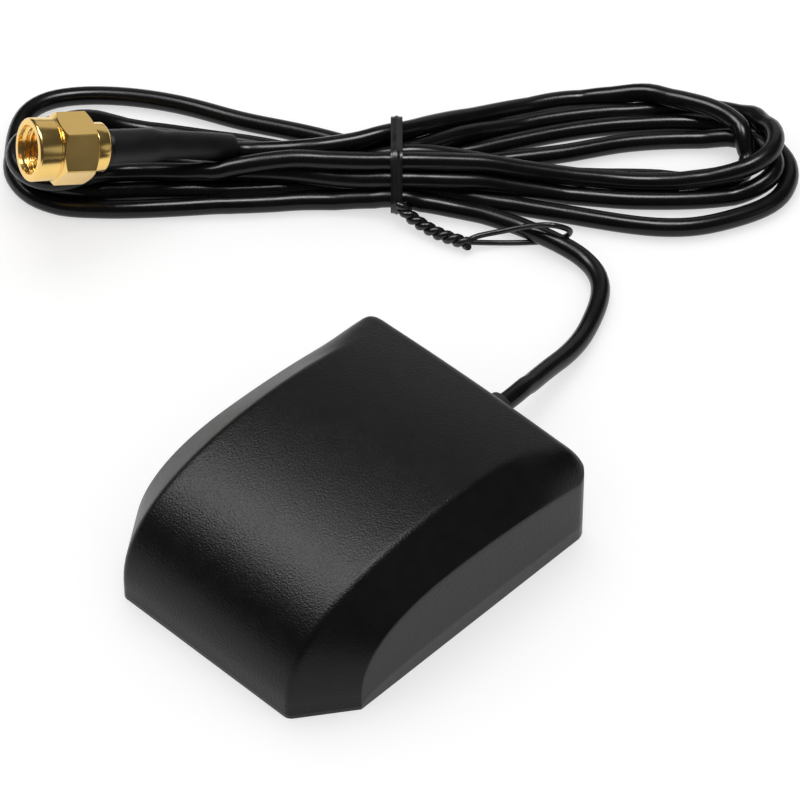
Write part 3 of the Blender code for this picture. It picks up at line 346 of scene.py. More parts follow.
# Cord
cord = {
    "diameter": 2.40,
    "spacing": 1.0,         # mm between the points that are settled
    "sides": 22,
    "hankMiddle": (-38.0, 48.4),
    "hankAngle": 44.0,
    "tieFloor": 0.95,       # the band runs under the hank, which lifts the strands here
    "tieReach": 4.0,        # mm from the tie to where they are down again
    "tieSlope": 2.6,
    "tail": (-21.0, -15.0, -8.5),   # on the plug's axis, mm from the nut's back
    "tailLength": 24,       # the cord's last stretch, most of it inside the sleeve
    "droop": 1.1,           # mm at the back end of the sleeve
    "droopStart": -7.0,
    "droopReach": 13.0,
    "keptEnds": 9,          # points at each end that aren't evened out
    "evenReach": 3,         # points to each side in the first evening out
    # how it settles: rounds, and what each round does
    "rounds": 360,
    "startHeld": 12,        # mm at the case that stay put, then mm until the cord is free
    "startFade": 14,
    "endHeld": 11,          # the same at the plug
    "endFade": 10,
    "gap": 1.01,            # diameters between two strands
    "near": 1.5,            # gaps within which pairs are kept in view
    "pairEvery": 10,        # rounds between two searches for pairs
    "neighbours": 7,        # points along the cord that don't count as a pair
    "crowding": 0.7,
    "pull": 0.03,           # back to the route, less and less
    "sink": 0.012,          # mm down
    "smoothEvery": 5,
    "smoothShare": 0.5,
    "smoothReach": 7,
    "plugPush": 0.6,
    # straight out of the case, then down and round to the hank: x, y, z
    "lead": [(0, 19.6, 4.72), (0, 22.75, 4.72), (0, 27.25, 4.72), (-0.1, 30.7, 4.5), (-1.0, 35.0, 3.8),
             (-1.7, 39.5, 2.9), (-2.4, 43.4, 2.2), (-4.5, 48.4, 1.5), (-6.2, 51.8, 1.3), (-8.7, 54.2, 1.4),
             (-11.3, 55.2, 1.8), (-13.7, 55.1, 2.3), (-16.2, 54.5, 2.5), (-18.3, 54.4, 2.4),
             (-20.0, 54.5, 2.0)],
    # nine passes of the hank: along it, across it away from the case, height; each loop starts
    # where the cord passes the tie
    "hank": [
        # to the tie
        (9.1, -4.2, 1.6), (4.1, -3.3, 2),
        # first left loop
        (0, -2.8, 2.2), (-4.2, -2.5, 2), (-8.4, -2.2, 1.3), (-12.1, -2.1, 1.2), (-16.2, -2.3, 1.2),
        (-21, -2.6, 1.2), (-25.5, -3.1, 1.2), (-29.6, -3.5, 1.2), (-34.8, -3.7, 1.2),
        (-39.8, -3.4, 1.2), (-43.1, -2.6, 1.2), (-45.4, -1.4, 1.2), (-47, 0.3, 1.2), (-47.9, 2.8, 1.2),
        (-48.1, 5.8, 1.2), (-48.1, 9, 1.2), (-47.8, 11.9, 1.2), (-46.7, 14.5, 1.2), (-44.6, 15.9, 1.2),
        (-40, 16.8, 1.2), (-33, 16.3, 1.2), (-26.2, 14.5, 1.2), (-20, 11.9, 1.2), (-12.6, 9.7, 1.2),
        (-6.1, 7.2, 1.5), (-3, 5.4, 2),
        # first right loop
        (0, 3.9, 2.2), (3.9, 4.5, 2), (8, 5.9, 1.6), (14.8, 8, 1.2), (20, 9.5, 1.2), (26, 10.7, 1.2),
        (31.6, 11.2, 1.2), (37.5, 11.2, 1.2), (42.8, 9.8, 1.2), (46.3, 7.3, 1.2), (48.4, 4.2, 1.2),
        (48.9, 1, 1.2), (48.4, -1.4, 1.2), (46.8, -3.6, 1.2), (45, -4.8, 1.2), (41.7, -6.1, 1.2),
        (38.3, -7.4, 1.2), (33.3, -7.7, 1.2), (28.2, -6.9, 1.2), (21.5, -5.2, 1.2), (14.8, -3.5, 1.2),
        (10.4, -2.3, 1.4), (4.2, -1.3, 2),
        # second left loop
        (0, -0.6, 2.2), (-3.9, 0.1, 2), (-8.4, 0.1, 1.3), (-15.9, 0, 1.2), (-24.7, -0.2, 1.2),
        (-34, -0.9, 1.6), (-40, -2.3, 3), (-44.5, -2.4, 3.6), (-47.2, -0.2, 3.6), (-48.1, 3, 3.6),
        (-47, 6.2, 3.6), (-44, 8.2, 3.6), (-40, 9.1, 3), (-36.5, 9.6, 2), (-33, 9.5, 1.2),
        (-28.4, 8.9, 1.2), (-24.3, 8, 1.2), (-19.6, 7.2, 1.2), (-15.9, 6.2, 1.2), (-9.7, 4.2, 1.4),
        (-3.9, 2.2, 2),
        # second right loop
        (0, 1.6, 2.2), (3.9, 2.4, 2), (10, 4, 1.4), (15.4, 4.9, 1.2), (22.8, 6.2, 1.2),
        (26.6, 7.4, 1.2), (31.6, 8.2, 1.2), (36.7, 8.5, 1.3), (41.7, 8.4, 2.6), (45.4, 7.2, 3.6),
        (47.7, 4.8, 3.6), (48.3, 2, 3.6), (47.3, -0.3, 3.6), (45.1, -1.3, 2.5), (41.7, -2, 1.4),
        (38.3, -2.5, 1.2), (33.3, -2.5, 1.2), (28.2, -2.3, 1.2), (24.2, -1.9, 1.3), (20.2, -1.6, 1.9),
        (14.8, -1.5, 3), (10.4, -1.6, 3.7), (4.6, -1.6, 4.3),
        # third left loop
        (0, -1.6, 4.5), (-3.9, -1.6, 4.2), (-8.4, -0.9, 3.7), (-12.1, -0.7, 3.6), (-15.9, -0.4, 3.6),
        (-20, 0, 3.4), (-24.7, 1.3, 2.3), (-30, 2.3, 1.2), (-36, 1.8, 1.2), (-39.5, 1.1, 1.2),
        (-42.8, 0.9, 1.2), (-45, 2.9, 1.2), (-45.7, 5.7, 1.2), (-44.9, 8.5, 1.2), (-42.4, 10, 1.2),
        (-39, 9.7, 1.2), (-35.2, 8.2, 1.2), (-28.4, 6.5, 1.2), (-19.6, 4.9, 1.4), (-15.5, 4.6, 2.6),
        (-12, 4.6, 3.7), (-8, 4.4, 3.8), (-3.9, 3.9, 4.2),
        # third right loop
        (0, 3.2, 4.5), (3.9, 4.6, 4.4), (8, 7.2, 3.6), (14.8, 10.8, 1.7), (20, 12.4, 1.2),
        (26, 13.6, 1.2), (31.6, 14.1, 1.2), (36.2, 14.7, 1.2), (39.4, 14.5, 1.3), (42.1, 13.4, 1.8),
        (44.3, 11.7, 2.7), (46, 9.2, 3.9), (47.4, 6.2, 5.4), (47.8, 3.8, 6), (47.1, 1.9, 6),
        (45.1, -0.1, 6), (42.1, -0.7, 5), (38.3, -0.6, 4), (33.3, -0.5, 3.3), (28.2, -0.4, 3.4),
        (20.2, -0.4, 4.6), (14.8, -0.4, 5.5), (10.3, -0.4, 6.1), (4.1, -0.5, 6.6),
        # fourth left loop
        (0, -0.5, 6.8), (-3.9, -0.3, 6.6), (-8.4, 0.2, 6.2), (-12.1, 0.6, 5.8), (-16, 0.7, 5.2),
        (-20, 0.6, 4.4), (-24.7, 0.9, 3.6), (-30, 1, 3.4), (-36, 0.6, 3.6), (-40.5, -2.9, 5.2),
        (-44.5, -3.7, 6), (-47.2, -1.6, 6), (-48.1, 1.6, 6), (-47, 4.5, 6), (-43.8, 5.9, 5.8),
        (-39.5, 6.1, 4.4), (-35.5, 5.8, 2.8), (-31, 5.1, 1.4), (-26, 4.2, 1.2), (-20, 3.3, 1.2),
        (-16, 2.5, 1.4), (-12, 2.3, 3), (-6.1, 2, 4.5), (-2, 1.8, 6),
        # fourth right loop
        (0, 1.7, 6.7), (2.5, 1.6, 6.8), (5, 1.7, 6.4), (10.4, 1.9, 4.9), (15, 1.8, 3.6),
        (20.2, 1.5, 2.3), (25, 1.1, 1.4), (31.4, 0.7, 1.2), (36.6, 0.2, 1.2), (40, -0.3, 1.2),
        (42.6, 0.4, 1.2), (44.5, 2.3, 1.4), (45.2, 4.9, 2.4), (44.5, 7.5, 4.2), (42.6, 9.6, 5),
        (40, 11.1, 4.8), (37.2, 12.7, 4.3), (34.1, 14, 3.8), (30.6, 14.9, 3.2), (26.6, 15.6, 2.4),
        (21.5, 15.7, 1.6), (14.8, 13.5, 2.6), (8, 9.4, 4.6), (4, 6.5, 6.2), (1.4, 4.7, 6.8),
        # out to the plug
        (-1.7, 3.8, 6.8), (-6.1, 2.6, 6.8), (-12.1, 2, 6.4),
    ],
}


def hankPoint(r, w, z, s):
    a = math.radians(s["hankAngle"])
    x, y = s["hankMiddle"]
    return (x + r * math.cos(a) - w * math.sin(a), y + r * math.sin(a) + w * math.cos(a), z)


def tailDroop(along):
    # how far the tail hangs below the plug's axis
    return cord["droop"] * (np.clip(cord["droopStart"] - along, 0, None) / cord["droopReach"]) ** 2


def cordRoute(s):
    ends = [tuple(plugBack / mm + plugAxis * at - (0, 0, tailDroop(at))) for at in s["tail"]]
    points = s["lead"] + [hankPoint(*p, s) for p in s["hank"]] + ends
    line = smoothRoute(points, s["spacing"])
    inner = slice(s["keptEnds"], -s["keptEnds"])
    line[inner] = evenedOut(line, s["evenReach"])[inner]
    return line


def evenedOut(values, reach):
    # a running average, with the ends kept
    padded = np.vstack([values[:1]] * reach + [values] + [values[-1:]] * reach)
    count = len(values)
    return sum(padded[k:k + count] for k in range(2 * reach + 1)) / (2 * reach + 1)


# the plug's girth, which the cord lies clear of: from this place on its axis on, this radius
plugGirth = [(8.5, 0.0), (-0.1, 4.75), (-2.4, 3.2), (-9.0, 2.2), (-20.3, 2.0)]


def plugRadius(along):
    reached = [along > start for start, radius in plugGirth]
    return np.select(reached, [radius for start, radius in plugGirth], 0.0)


def nearPairs(line, s):
    # points that lie near each other and aren't neighbours along the cord
    apart = np.linalg.norm(line[:, None] - line[None], axis=2)
    return np.nonzero(np.triu(apart < s["diameter"] * s["gap"] * s["near"], s["neighbours"]))


def pushedApart(line, pairs, s):
    # how far each point moves away from those that it is too close to
    i, j = pairs
    gap, count = s["diameter"] * s["gap"], len(line)
    between = line[i] - line[j]
    far = np.linalg.norm(between, axis=1)
    hit = far < gap
    push = between[hit] / far[hit, None] * ((gap - far[hit]) * 0.5)[:, None]
    hits = np.bincount(i[hit], minlength=count) + np.bincount(j[hit], minlength=count)
    step = np.zeros_like(line)
    for k in range(3):
        step[:, k] = np.bincount(i[hit], push[:, k], count) - np.bincount(j[hit], push[:, k], count)
    return step / (np.maximum(hits, 1)[:, None] * s["crowding"])


def clearOfPlug(line, run, s):
    # moves points out of the plug and its sleeve, but not the tail, which runs inside them
    start = plugBack / mm
    place = (line - start) @ plugAxis
    off = line - start - place[:, None] * plugAxis
    off[:, 2] += tailDroop(place)
    reach, girth = np.linalg.norm(off, axis=1), plugRadius(place)
    outside = (run < run[-1] - s["tailLength"]) & (girth > 0)
    need = np.where(outside, girth + s["diameter"] / 2, 0)
    short = reach < need
    line[short] += (off[short] / reach[short, None]) * (need[short] - reach[short])[:, None] * s["plugPush"]


def settleCord(line, s):
    # lets the cord lie: apart by its own width, on the floor and in the band
    radius = s["diameter"] / 2
    a = math.radians(s["hankAngle"])
    along = np.array([math.cos(a), math.sin(a), 0])
    middle = np.array([*s["hankMiddle"], 0])
    target, line = line.copy(), line.copy()
    run = np.arange(len(line)) * s["spacing"]
    free = np.clip((run - s["startHeld"]) / s["startFade"], 0, 1)
    free = free * np.clip((run[-1] - s["endHeld"] - run) / s["endFade"], 0, 1)
    for turn in range(s["rounds"]):
        if turn % s["pairEvery"] == 0:
            pairs = nearPairs(line, s)
        step = pushedApart(line, pairs, s)
        step += s["pull"] * (1 - turn / s["rounds"]) * (target - line)
        step[:, 2] -= s["sink"]
        if turn % s["smoothEvery"] == 0:
            moved = line - target
            step += s["smoothShare"] * (evenedOut(moved, s["smoothReach"]) - moved)
        line += step * free[:, None]
        clearOfPlug(line, run, s)
        r = (line - middle) @ along
        band = np.clip((s["tieReach"] - np.abs(r)) / s["tieSlope"], 0, 1) * s["tieFloor"]
        line[:, 2] = np.maximum(line[:, 2], radius + np.where(free > 0, band, 0))
    apart = np.linalg.norm(line[:, None] - line[None], axis=2)
    closest = apart[np.triu_indices(len(line), s["neighbours"])].min()
    print(f"cord settled, closest strands {closest:.2f} mm apart")
    return line


def makeCord(s):
    line = settleCord(cordRoute(s), s) * mm
    verts, faces = sweep(line, circle(s["diameter"] / 2 * mm, s["sides"]), firstUp=(1, 0, 0))
    piece = addPiece("antennaLead", verts, faces, made["cable_jacket"], sharp=80)
    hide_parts("cable_lead", "cable_hank", "cable_tail")
    return piece, line


cordPiece, cordLine = makeCord(cord)
print("cord made")


# Case
case = {
    "width": 37.0, "depth": 45.5, "height": 16.1, "crownPeak": 2.0, "crownFall": 3.6,
    "crownBow": 0.4, "crownReach": 11.0, "crownFullness": 11.2, "bevelWidth": 5.0,
    "shoulderHeight": 11.5, "shoulderPeak": -1.0, "shoulderFall": 2.6, "shoulderReach": 6.5,
    "shoulderFullness": 7.5, "noseSetback": 6.9, "noseHeight": 2.4, "cornerRadius": 2.2,
    "swell": 3.5, "swellStart": 11.0, "backFillet": 1.8, "edgeRound": 0.7, "wall": 0.8,
    "backSteps": 18, "flankSteps": 26, "noseSteps": 56, "crossSteps": 10, "roundSteps": 7,
    "bevelSteps": 8, "footSteps": 4, "bevelEnd": 0.97, "bevelStart": 0.03, "bevelCrowding": 1.6,
    "slack": 0.01, "leadHeight": 4.72, "windowRadius": 2.28, "windowNear": 10, "windowFar": 30,
}


def sideProfile(peak, back, nose, reach, fullness, s):
    t = np.linspace(1, 0, s["flankSteps"], endpoint=False)
    flank = np.stack([peak[0] + (back[0] - peak[0]) * t, peak[1] - (peak[1] - back[1]) * t * t], axis=1)
    t = np.linspace(0, 1, s["noseSteps"] + 1)[:, None]
    ends = np.array([peak, (peak[0] - reach, peak[1]), (nose[0], nose[1] + fullness), nose])
    curve = ((1 - t) ** 3 * ends[0] + 3 * t * (1 - t) ** 2 * ends[1]
             + 3 * t ** 2 * (1 - t) * ends[2] + t ** 3 * ends[3])
    return np.vstack([flank, curve])


def roundedCorner(before, corner, after, s):
    first = corner + (before - corner) * min(0.45, s["edgeRound"] / (before - corner).length)
    last = corner + (after - corner) * min(0.45, s["edgeRound"] / (after - corner).length)
    steps = [k / (s["roundSteps"] - 1) for k in range(s["roundSteps"])]
    return [first * (1 - t) ** 2 + corner * 2 * t * (1 - t) + last * t * t for t in steps]


def roofLine(crown, shoulder, half, ridge, drop, s):
    # one line across the case, from foot to foot; the bevel swells out towards the back
    bow = s["crownBow"] * max(0.0, crown[1] - s["noseHeight"]) / s["height"]
    fullHalf = s["width"] / 2
    swell = max(0.0, (crown[0] - s["swellStart"]) / (s["depth"] / 2 - s["swellStart"])) ** 2

    def bevelPoint(share):
        rise = 1 - (1 - share) ** (1 + s["swell"] * swell)
        return Vector((fullHalf - (fullHalf - ridge) * share, shoulder[0] + (crown[0] - shoulder[0]) * share,
                       shoulder[1] + (crown[1] - shoulder[1]) * rise - drop))

    first = (fullHalf - half) / (fullHalf - ridge)
    edge = bevelPoint(first)
    foot, top = Vector((half, edge.y, 0)), Vector((ridge, crown[0], crown[1] - drop))
    n = s["bevelSteps"]
    shares = [s["bevelEnd"] * (1 - k / n) ** s["bevelCrowding"] for k in range(n)]
    bevel = [bevelPoint(first + (1 - first) * share) for share in shares if share > s["bevelStart"]]
    n = s["crossSteps"]
    across = [Vector((ridge * k / n, crown[0], crown[1] - drop + bow * (1 - (k / n) ** 2)))
              for k in range(n)]
    right = across + roundedCorner(across[-1], top, bevel[1], s) + bevel[1:]
    right += roundedCorner(bevel[-1], edge, foot, s)
    wall = right[-1]
    right += [wall.lerp(foot, k / s["footSteps"]) for k in range(1, s["footSteps"] + 1)]
    return [Vector((-p.x, p.y, p.z)) for p in reversed(right[1:])] + right


def roofLines(s):
    back, nose, half = s["depth"] / 2, -s["depth"] / 2, s["width"] / 2
    ridge, radius, fillet = half - s["bevelWidth"], s["cornerRadius"], s["backFillet"]
    crown = sideProfile((s["crownPeak"], s["height"]), (back, s["height"] - s["crownFall"]),
                        (nose, s["noseHeight"]), s["crownReach"], s["crownFullness"], s)
    shoulder = sideProfile((s["shoulderPeak"], s["shoulderHeight"]),
                           (back, s["shoulderHeight"] - s["shoulderFall"]),
                           (nose + s["noseSetback"], s["noseHeight"]), s["shoulderReach"],
                           s["shoulderFullness"], s)
    lines = []
    for i in range(s["backSteps"]):
        angle = math.radians(90 * (1 - i / s["backSteps"]))
        y = back - radius + radius * math.sin(angle)
        here = half - radius + radius * math.cos(angle)
        into = max(0.0, y - (back - fillet))
        drop = fillet - math.sqrt(max(0.0, fillet * fillet - into * into))
        fromCrown = 1 + (y - back) / (back - s["crownPeak"])
        fromShoulder = 1 + (y - back) / (back - s["shoulderPeak"])
        crownZ = s["height"] - s["crownFall"] * fromCrown ** 2
        shoulderZ = s["shoulderHeight"] - s["shoulderFall"] * fromShoulder ** 2
        lines.append(roofLine((y, crownZ), (y, shoulderZ), here, min(ridge, here - s["slack"]), drop, s))
    for high, low in zip(crown, shoulder):
        if high[0] < back - radius - s["slack"]:
            lines.append(roofLine(high, low, half, ridge, 0.0, s))
    return lines


def makeCase(s):
    lines = roofLines(s)
    bm = bmesh.new()
    grid = [[bm.verts.new(p * mm) for p in line] for line in lines]
    for row, following in zip(grid, grid[1:]):
        for a, b, c, d in zip(row, row[1:], following[1:], following):
            bm.faces.new((a, b, c, d))
    n = s["footSteps"]
    for row in (grid[0], grid[-1]):
        # closes the back wall and the nose, in as many rows as the walls' feet have
        middle = row[n:-n]
        levels = [middle]
        for step in range(1, n + 1):
            level = [row[n - step]]
            for v in middle[1:-1]:
                level.append(bm.verts.new((v.co.x, v.co.y, v.co.z * (1 - step / n))))
            level.append(row[step - n - 1])
            levels.append(level)
        for upper, lower in zip(levels, levels[1:]):
            for a, b, c, d in zip(upper, upper[1:], lower[1:], lower):
                bm.faces.new((a, b, c, d))
    bmesh.ops.remove_doubles(bm, verts=bm.verts, dist=1e-7)
    mesh = bpy.data.meshes.new("caseShell")
    bm.to_mesh(mesh)
    bm.free()
    shell = addMesh("caseShell", mesh, made["moulded_black"], sharp=30)
    wall = shell.modifiers.new("wall", "SOLIDIFY")
    wall.thickness = s["wall"] * mm
    wall.offset = -1
    wide, near, far = s["windowRadius"], -s["windowNear"], -s["windowFar"]
    cutter = turnedCutter("leadWindow", [(0, far), (wide, far), (wide, near), (0, near)], 48)
    cutter.matrix_world = leadPlace(s)
    applyCut(shell, cutter)
    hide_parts("top_cover")


def leadPlace(s):
    # its z axis runs into the case, along the lead
    return Matrix.Translation((0, 0, s["leadHeight"] * mm)) @ Matrix.Rotation(math.pi / 2, 4, "X")


def turnedCutter(name, profile, steps):
    return bpy.data.objects.new(name, turnedMesh(name, [(r * mm, z * mm) for r, z in profile], steps, False))


def applyCut(piece, cutter, operation="DIFFERENCE"):
    # applies the piece's modifiers and the cut, and removes the cutter
    scene.collection.objects.link(cutter)
    bpy.context.view_layer.update()
    bm = bmesh.new()
    bm.from_mesh(cutter.data)
    bmesh.ops.recalc_face_normals(bm, faces=bm.faces)
    bm.to_mesh(cutter.data)
    bm.free()
    cut = piece.modifiers.new("cut", "BOOLEAN")
    cut.operation, cut.object = operation, cutter
    bpy.context.view_layer.update()
    solid = bpy.data.meshes.new_from_object(piece.evaluated_get(bpy.context.evaluated_depsgraph_get()))
    piece.modifiers.clear()
    piece.data = solid
    bpy.data.objects.remove(cutter, do_unlink=True)


makeCase(case)
print("case made")


# Strain relief
relief = {"leadHeight": case["leadHeight"], "bore": 1.35, "collar": 2.7, "sleeve": 2.0, "tip": 1.8,
          "start": 19.7, "wallEnd": 23.05, "collarEnd": 24.05, "step": 0.2, "end": 27.25, "soft": 0.25}


def makeRelief(s):
    p = [(s["bore"], -s["start"]), (s["sleeve"], -s["start"]), (s["sleeve"], -s["wallEnd"]),
         (s["collar"], -s["wallEnd"]), (s["collar"], -s["collarEnd"]),
         (s["sleeve"], -s["collarEnd"] - s["step"]),
         (s["tip"], -s["end"]), (s["bore"], -s["end"])]
    profile = [(r * mm, z * mm) for r, z in softCorners(p, s["soft"])]
    mesh = turnedMesh("reliefSleeve", profile)
    piece = addMesh("reliefSleeve", mesh, made["black_rubber"], place=leadPlace(s))
    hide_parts("strain_relief")
    return piece


reliefPiece = makeRelief(relief)
print("strain relief made")


# Twist tie
tie = {
    "width": 1.5, "thickness": 0.7, "clear": 0.12, "strip": 0.62, "ridge": 0.25, "outlineSteps": 120,
    "wire": 0.36, "neckWire": 0.48, "twist": 0.40, "pitch": 2.7,
    "neck": [(0.5, -4.8, 2.7), (1.7, -6.0, 1.6), (5.1, -8.5, 1.1), (9.1, -10.5, 1.1)],
    "lowerLeg": [(8.5, -10.1, 1.1), (12.5, -9.7, 0.6), (16.0, -9.5, 0.45), (19.2, -9.3, 0.55),
                 (21.0, -9.4, 1.4)],
    "upperLeg": [(21.0, -9.4, 1.2), (21.5, -9.8, 2.8), (19.4, -10.3, 4.2), (16.5, -9.4, 3.2),
                 (13.0, -9.0, 1.9), (10.2, -9.3, 1.4), (8.7, -10.0, 1.2)],
}


def bandOutline(s):
    # the tight outline of the strands where the tie crosses them
    a = math.radians(cord["hankAngle"])
    along, aside = np.array([math.cos(a), math.sin(a)]), np.array([-math.sin(a), math.cos(a)])
    flat = (cordLine[:, :2] / mm) - np.array(cord["hankMiddle"])
    r, w, z = flat @ along, flat @ aside, cordLine[:, 2] / mm
    crossed = np.nonzero((r[1:] * r[:-1] <= 0) & (np.abs(w[1:]) < 12))[0]
    spots = [(w[k], z[k]) for k in crossed]
    reach = cord["diameter"] / 2 + s["clear"]
    ring = [(x + reach * math.cos(t), y + reach * math.sin(t)) for x, y in spots
            for t in np.linspace(0, 2 * math.pi, 32, endpoint=False)]
    ring = sorted((float(x), max(float(y), s["thickness"] + 0.2)) for x, y in ring)
    hull = []
    for points in (ring, ring[::-1]):
        part = []
        for p in points:
            while len(part) > 1 and ((part[-1][0] - part[-2][0]) * (p[1] - part[-2][1])
                                     - (part[-1][1] - part[-2][1]) * (p[0] - part[-2][0])) <= 0:
                part.pop()
            part.append(p)
        hull += part[:-1]
    line = np.array(hull + [hull[0]])
    run = np.r_[0, np.cumsum(np.linalg.norm(np.diff(line, axis=0), axis=1))]
    even = np.linspace(0, run[-1], s["outlineSteps"], endpoint=False)
    return np.stack([np.interp(even, run, line[:, k]) for k in (0, 1)], axis=1)


def ribbonSection(width, thickness, ridge):
    # a flat strip, (across, out), with rounded edges and a raised middle over its wire
    points = []
    for k in range(9):
        x = -width / 2 + width * k / 8
        bump = ridge * math.exp(-(x / (width * 0.16)) ** 2)
        points.append((x * 0.96, thickness / 2 + bump))
    edge = [(width / 2, thickness * 0.22), (width / 2, -thickness * 0.22)]
    under = [(-x, -y) for x, y in points]
    return points + edge + under + [(-x, -y) for x, y in edge]


def makeTie(s):
    outline = bandOutline(s)
    count = len(outline)
    section = ribbonSection(s["width"], s["thickness"] * s["strip"], s["thickness"] * s["ridge"])
    middle = np.roll(outline, -1, axis=0) - np.roll(outline, 1, axis=0)
    middle /= np.linalg.norm(middle, axis=1)[:, None]
    verts = []
    for (w, z), (tw, tz) in zip(outline, middle):
        out = (tz, -tw)
        for x, y in section:
            y += s["thickness"] / 2
            verts.append(Vector(hankPoint(x, w + out[0] * y, z + out[1] * y, cord)) * mm)
    n = len(section)
    faces = gridFaces(count, n, True, True)
    neck = smoothRoute([hankPoint(*p, cord) for p in s["neck"]], 0.25)
    run = np.r_[0, np.cumsum(np.linalg.norm(np.diff(neck, axis=0), axis=1))]
    ahead = np.gradient(neck, axis=0)
    ahead /= np.linalg.norm(ahead, axis=1)[:, None]
    across = np.cross(ahead, (0, 0, 1.0))
    across /= np.linalg.norm(across, axis=1)[:, None]
    up = np.cross(across, ahead)
    parts = [(verts, faces)]
    for phase in (0, math.pi):
        angle = 2 * math.pi * run / s["pitch"] + phase
        strand = neck + s["twist"] * (np.cos(angle)[:, None] * across + np.sin(angle)[:, None] * up)
        parts.append(sweep(strand * mm, [(x * mm, y * mm) for x, y in circle(s["neckWire"], 12)]))
    for leg in ("lowerLeg", "upperLeg"):
        line = smoothRoute([hankPoint(*p, cord) for p in s[leg]], 0.3)
        parts.append(sweep(line * mm, [(x * mm, y * mm) for x, y in circle(s["wire"], 12)]))
    verts, faces = [], []
    for v, f in parts:
        faces += [tuple(k + len(verts) for k in face) for face in f]
        verts += [tuple(p) for p in v]
    piece = addPiece("cordTie", verts, faces, made["tie_black"], sharp=60)
    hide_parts("twist_tie")
    return piece


tiePiece = makeTie(tie)
print("tie made")


# Plug
nut = {
    # 8 mm across the flats
    "corner": 4.62, "cornerCut": 0.95, "cutShare": 0.6, "edge": 0.09, "turned": 30, "hexLength": 4.9,
    "length": plugPlace["nutLength"], "nose": 3.95, "noseRound": 0.35, "undercut": 0.12,
    "lip": 1.4, "lipBore": 2.65, "ringBore": 3.05, "ringEnd": 2.6, "washerBore": 3.3, "washerEnd": 3.8,
    "thread": 2.85, "threadDepth": 0.38, "pitch": 0.7056, "flare": 0.4, "steps": 128, "cutterSteps": 144,
}


def threadedBore(s):
    # the hollow inside the nut, with its thread as a helix
    steps = s["steps"]
    levels = [(0.0, -1.0), (s["lipBore"], -1.0), (s["lipBore"], s["lip"]), (s["ringBore"], s["lip"]),
              (s["ringBore"], s["ringEnd"]), (s["washerBore"], s["ringEnd"]),
              (s["washerBore"], s["washerEnd"])]
    start, end = s["washerEnd"], s["length"] - s["flare"]
    rows = int((end - start) / s["pitch"] * 10)
    verts = []
    for i in range(steps):
        angle = 2 * math.pi * i / steps
        profile = list(levels)
        for k in range(rows + 1):
            z = start + (end - start) * k / rows
            wave = abs(((z / s["pitch"] - i / steps) % 1.0) * 2 - 1)
            wave = min(1.0, max(0.0, (wave - 0.12) / 0.76))
            profile.append((s["thread"] + s["threadDepth"] * (wave - 0.5) * 0.9, z))
        profile += [(s["thread"] + s["flare"] * 0.6, s["length"]),
                    (s["thread"] + s["flare"] + 1, s["length"] + 1), (0.0, s["length"] + 1)]
        verts += [(r * mm * math.cos(angle), r * mm * math.sin(angle), z * mm) for r, z in profile]
    mesh = bpy.data.meshes.new("threadedBore")
    mesh.from_pydata(verts, [], gridFaces(steps, len(profile), True, False))
    bm = bmesh.new()
    bm.from_mesh(mesh)
    bmesh.ops.remove_doubles(bm, verts=bm.verts, dist=1e-8)
    bm.to_mesh(mesh)
    bm.free()
    return bpy.data.objects.new("threadedBore", mesh)


def makeHexagon(s):
    bm = bmesh.new()
    turn = Matrix.Rotation(math.radians(s["turned"]), 4, "Z")
    place = Matrix.Translation((0, 0, s["hexLength"] / 2 * mm)) @ turn
    bmesh.ops.create_cone(bm, cap_ends=True, segments=6, radius1=s["corner"] * mm, radius2=s["corner"] * mm,
                          depth=s["hexLength"] * mm, matrix=place)
    upright = [e for e in bm.edges if abs(e.verts[0].co.z - e.verts[1].co.z) > mm]
    bmesh.ops.bevel(bm, geom=upright, offset=s["edge"] * mm, segments=3, affect="EDGES")
    mesh = bpy.data.meshes.new("couplingNut")
    bm.to_mesh(mesh)
    bm.free()
    return mesh


def makeNut(s):
    piece = addMesh("couplingNut", makeHexagon(s), made["gold_plate"], None, 30)
    top, steps = s["hexLength"], s["cutterSteps"]
    end, wide, cutHalf = s["corner"] - s["cornerCut"], s["corner"] + 0.02, s["cornerCut"] * s["cutShare"]
    limit = turnedCutter("corners", [(0, top + 0.01), (end, top + 0.01), (wide, top - cutHalf),
                                     (wide, cutHalf), (end, -0.01), (0, -0.01)], steps)
    applyCut(piece, limit, "INTERSECT")
    nose, soft, inner = s["nose"], s["noseRound"], s["nose"] - s["undercut"]
    arc = [(nose - soft + soft * math.sin(t), s["length"] - soft + soft * math.cos(t))
           for t in np.linspace(0, math.pi / 2, 7)]
    collar = turnedCutter("nose", [(0, s["length"])] + arc + [(nose, top + 0.25), (inner, top + 0.1),
                                                              (inner, top - 1), (0, top - 1)], steps)
    applyCut(piece, collar, "UNION")
    applyCut(piece, threadedBore(s))
    piece.data.materials.clear()
    piece.data.materials.append(made["gold_plate"])
    smoothMesh(piece.data, 30)
    piece.matrix_world = plugFrame @ Matrix.Rotation(math.radians(s["turned"]), 4, "Z")
    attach(piece, "nut")
    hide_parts("coupling_nut")
    return piece


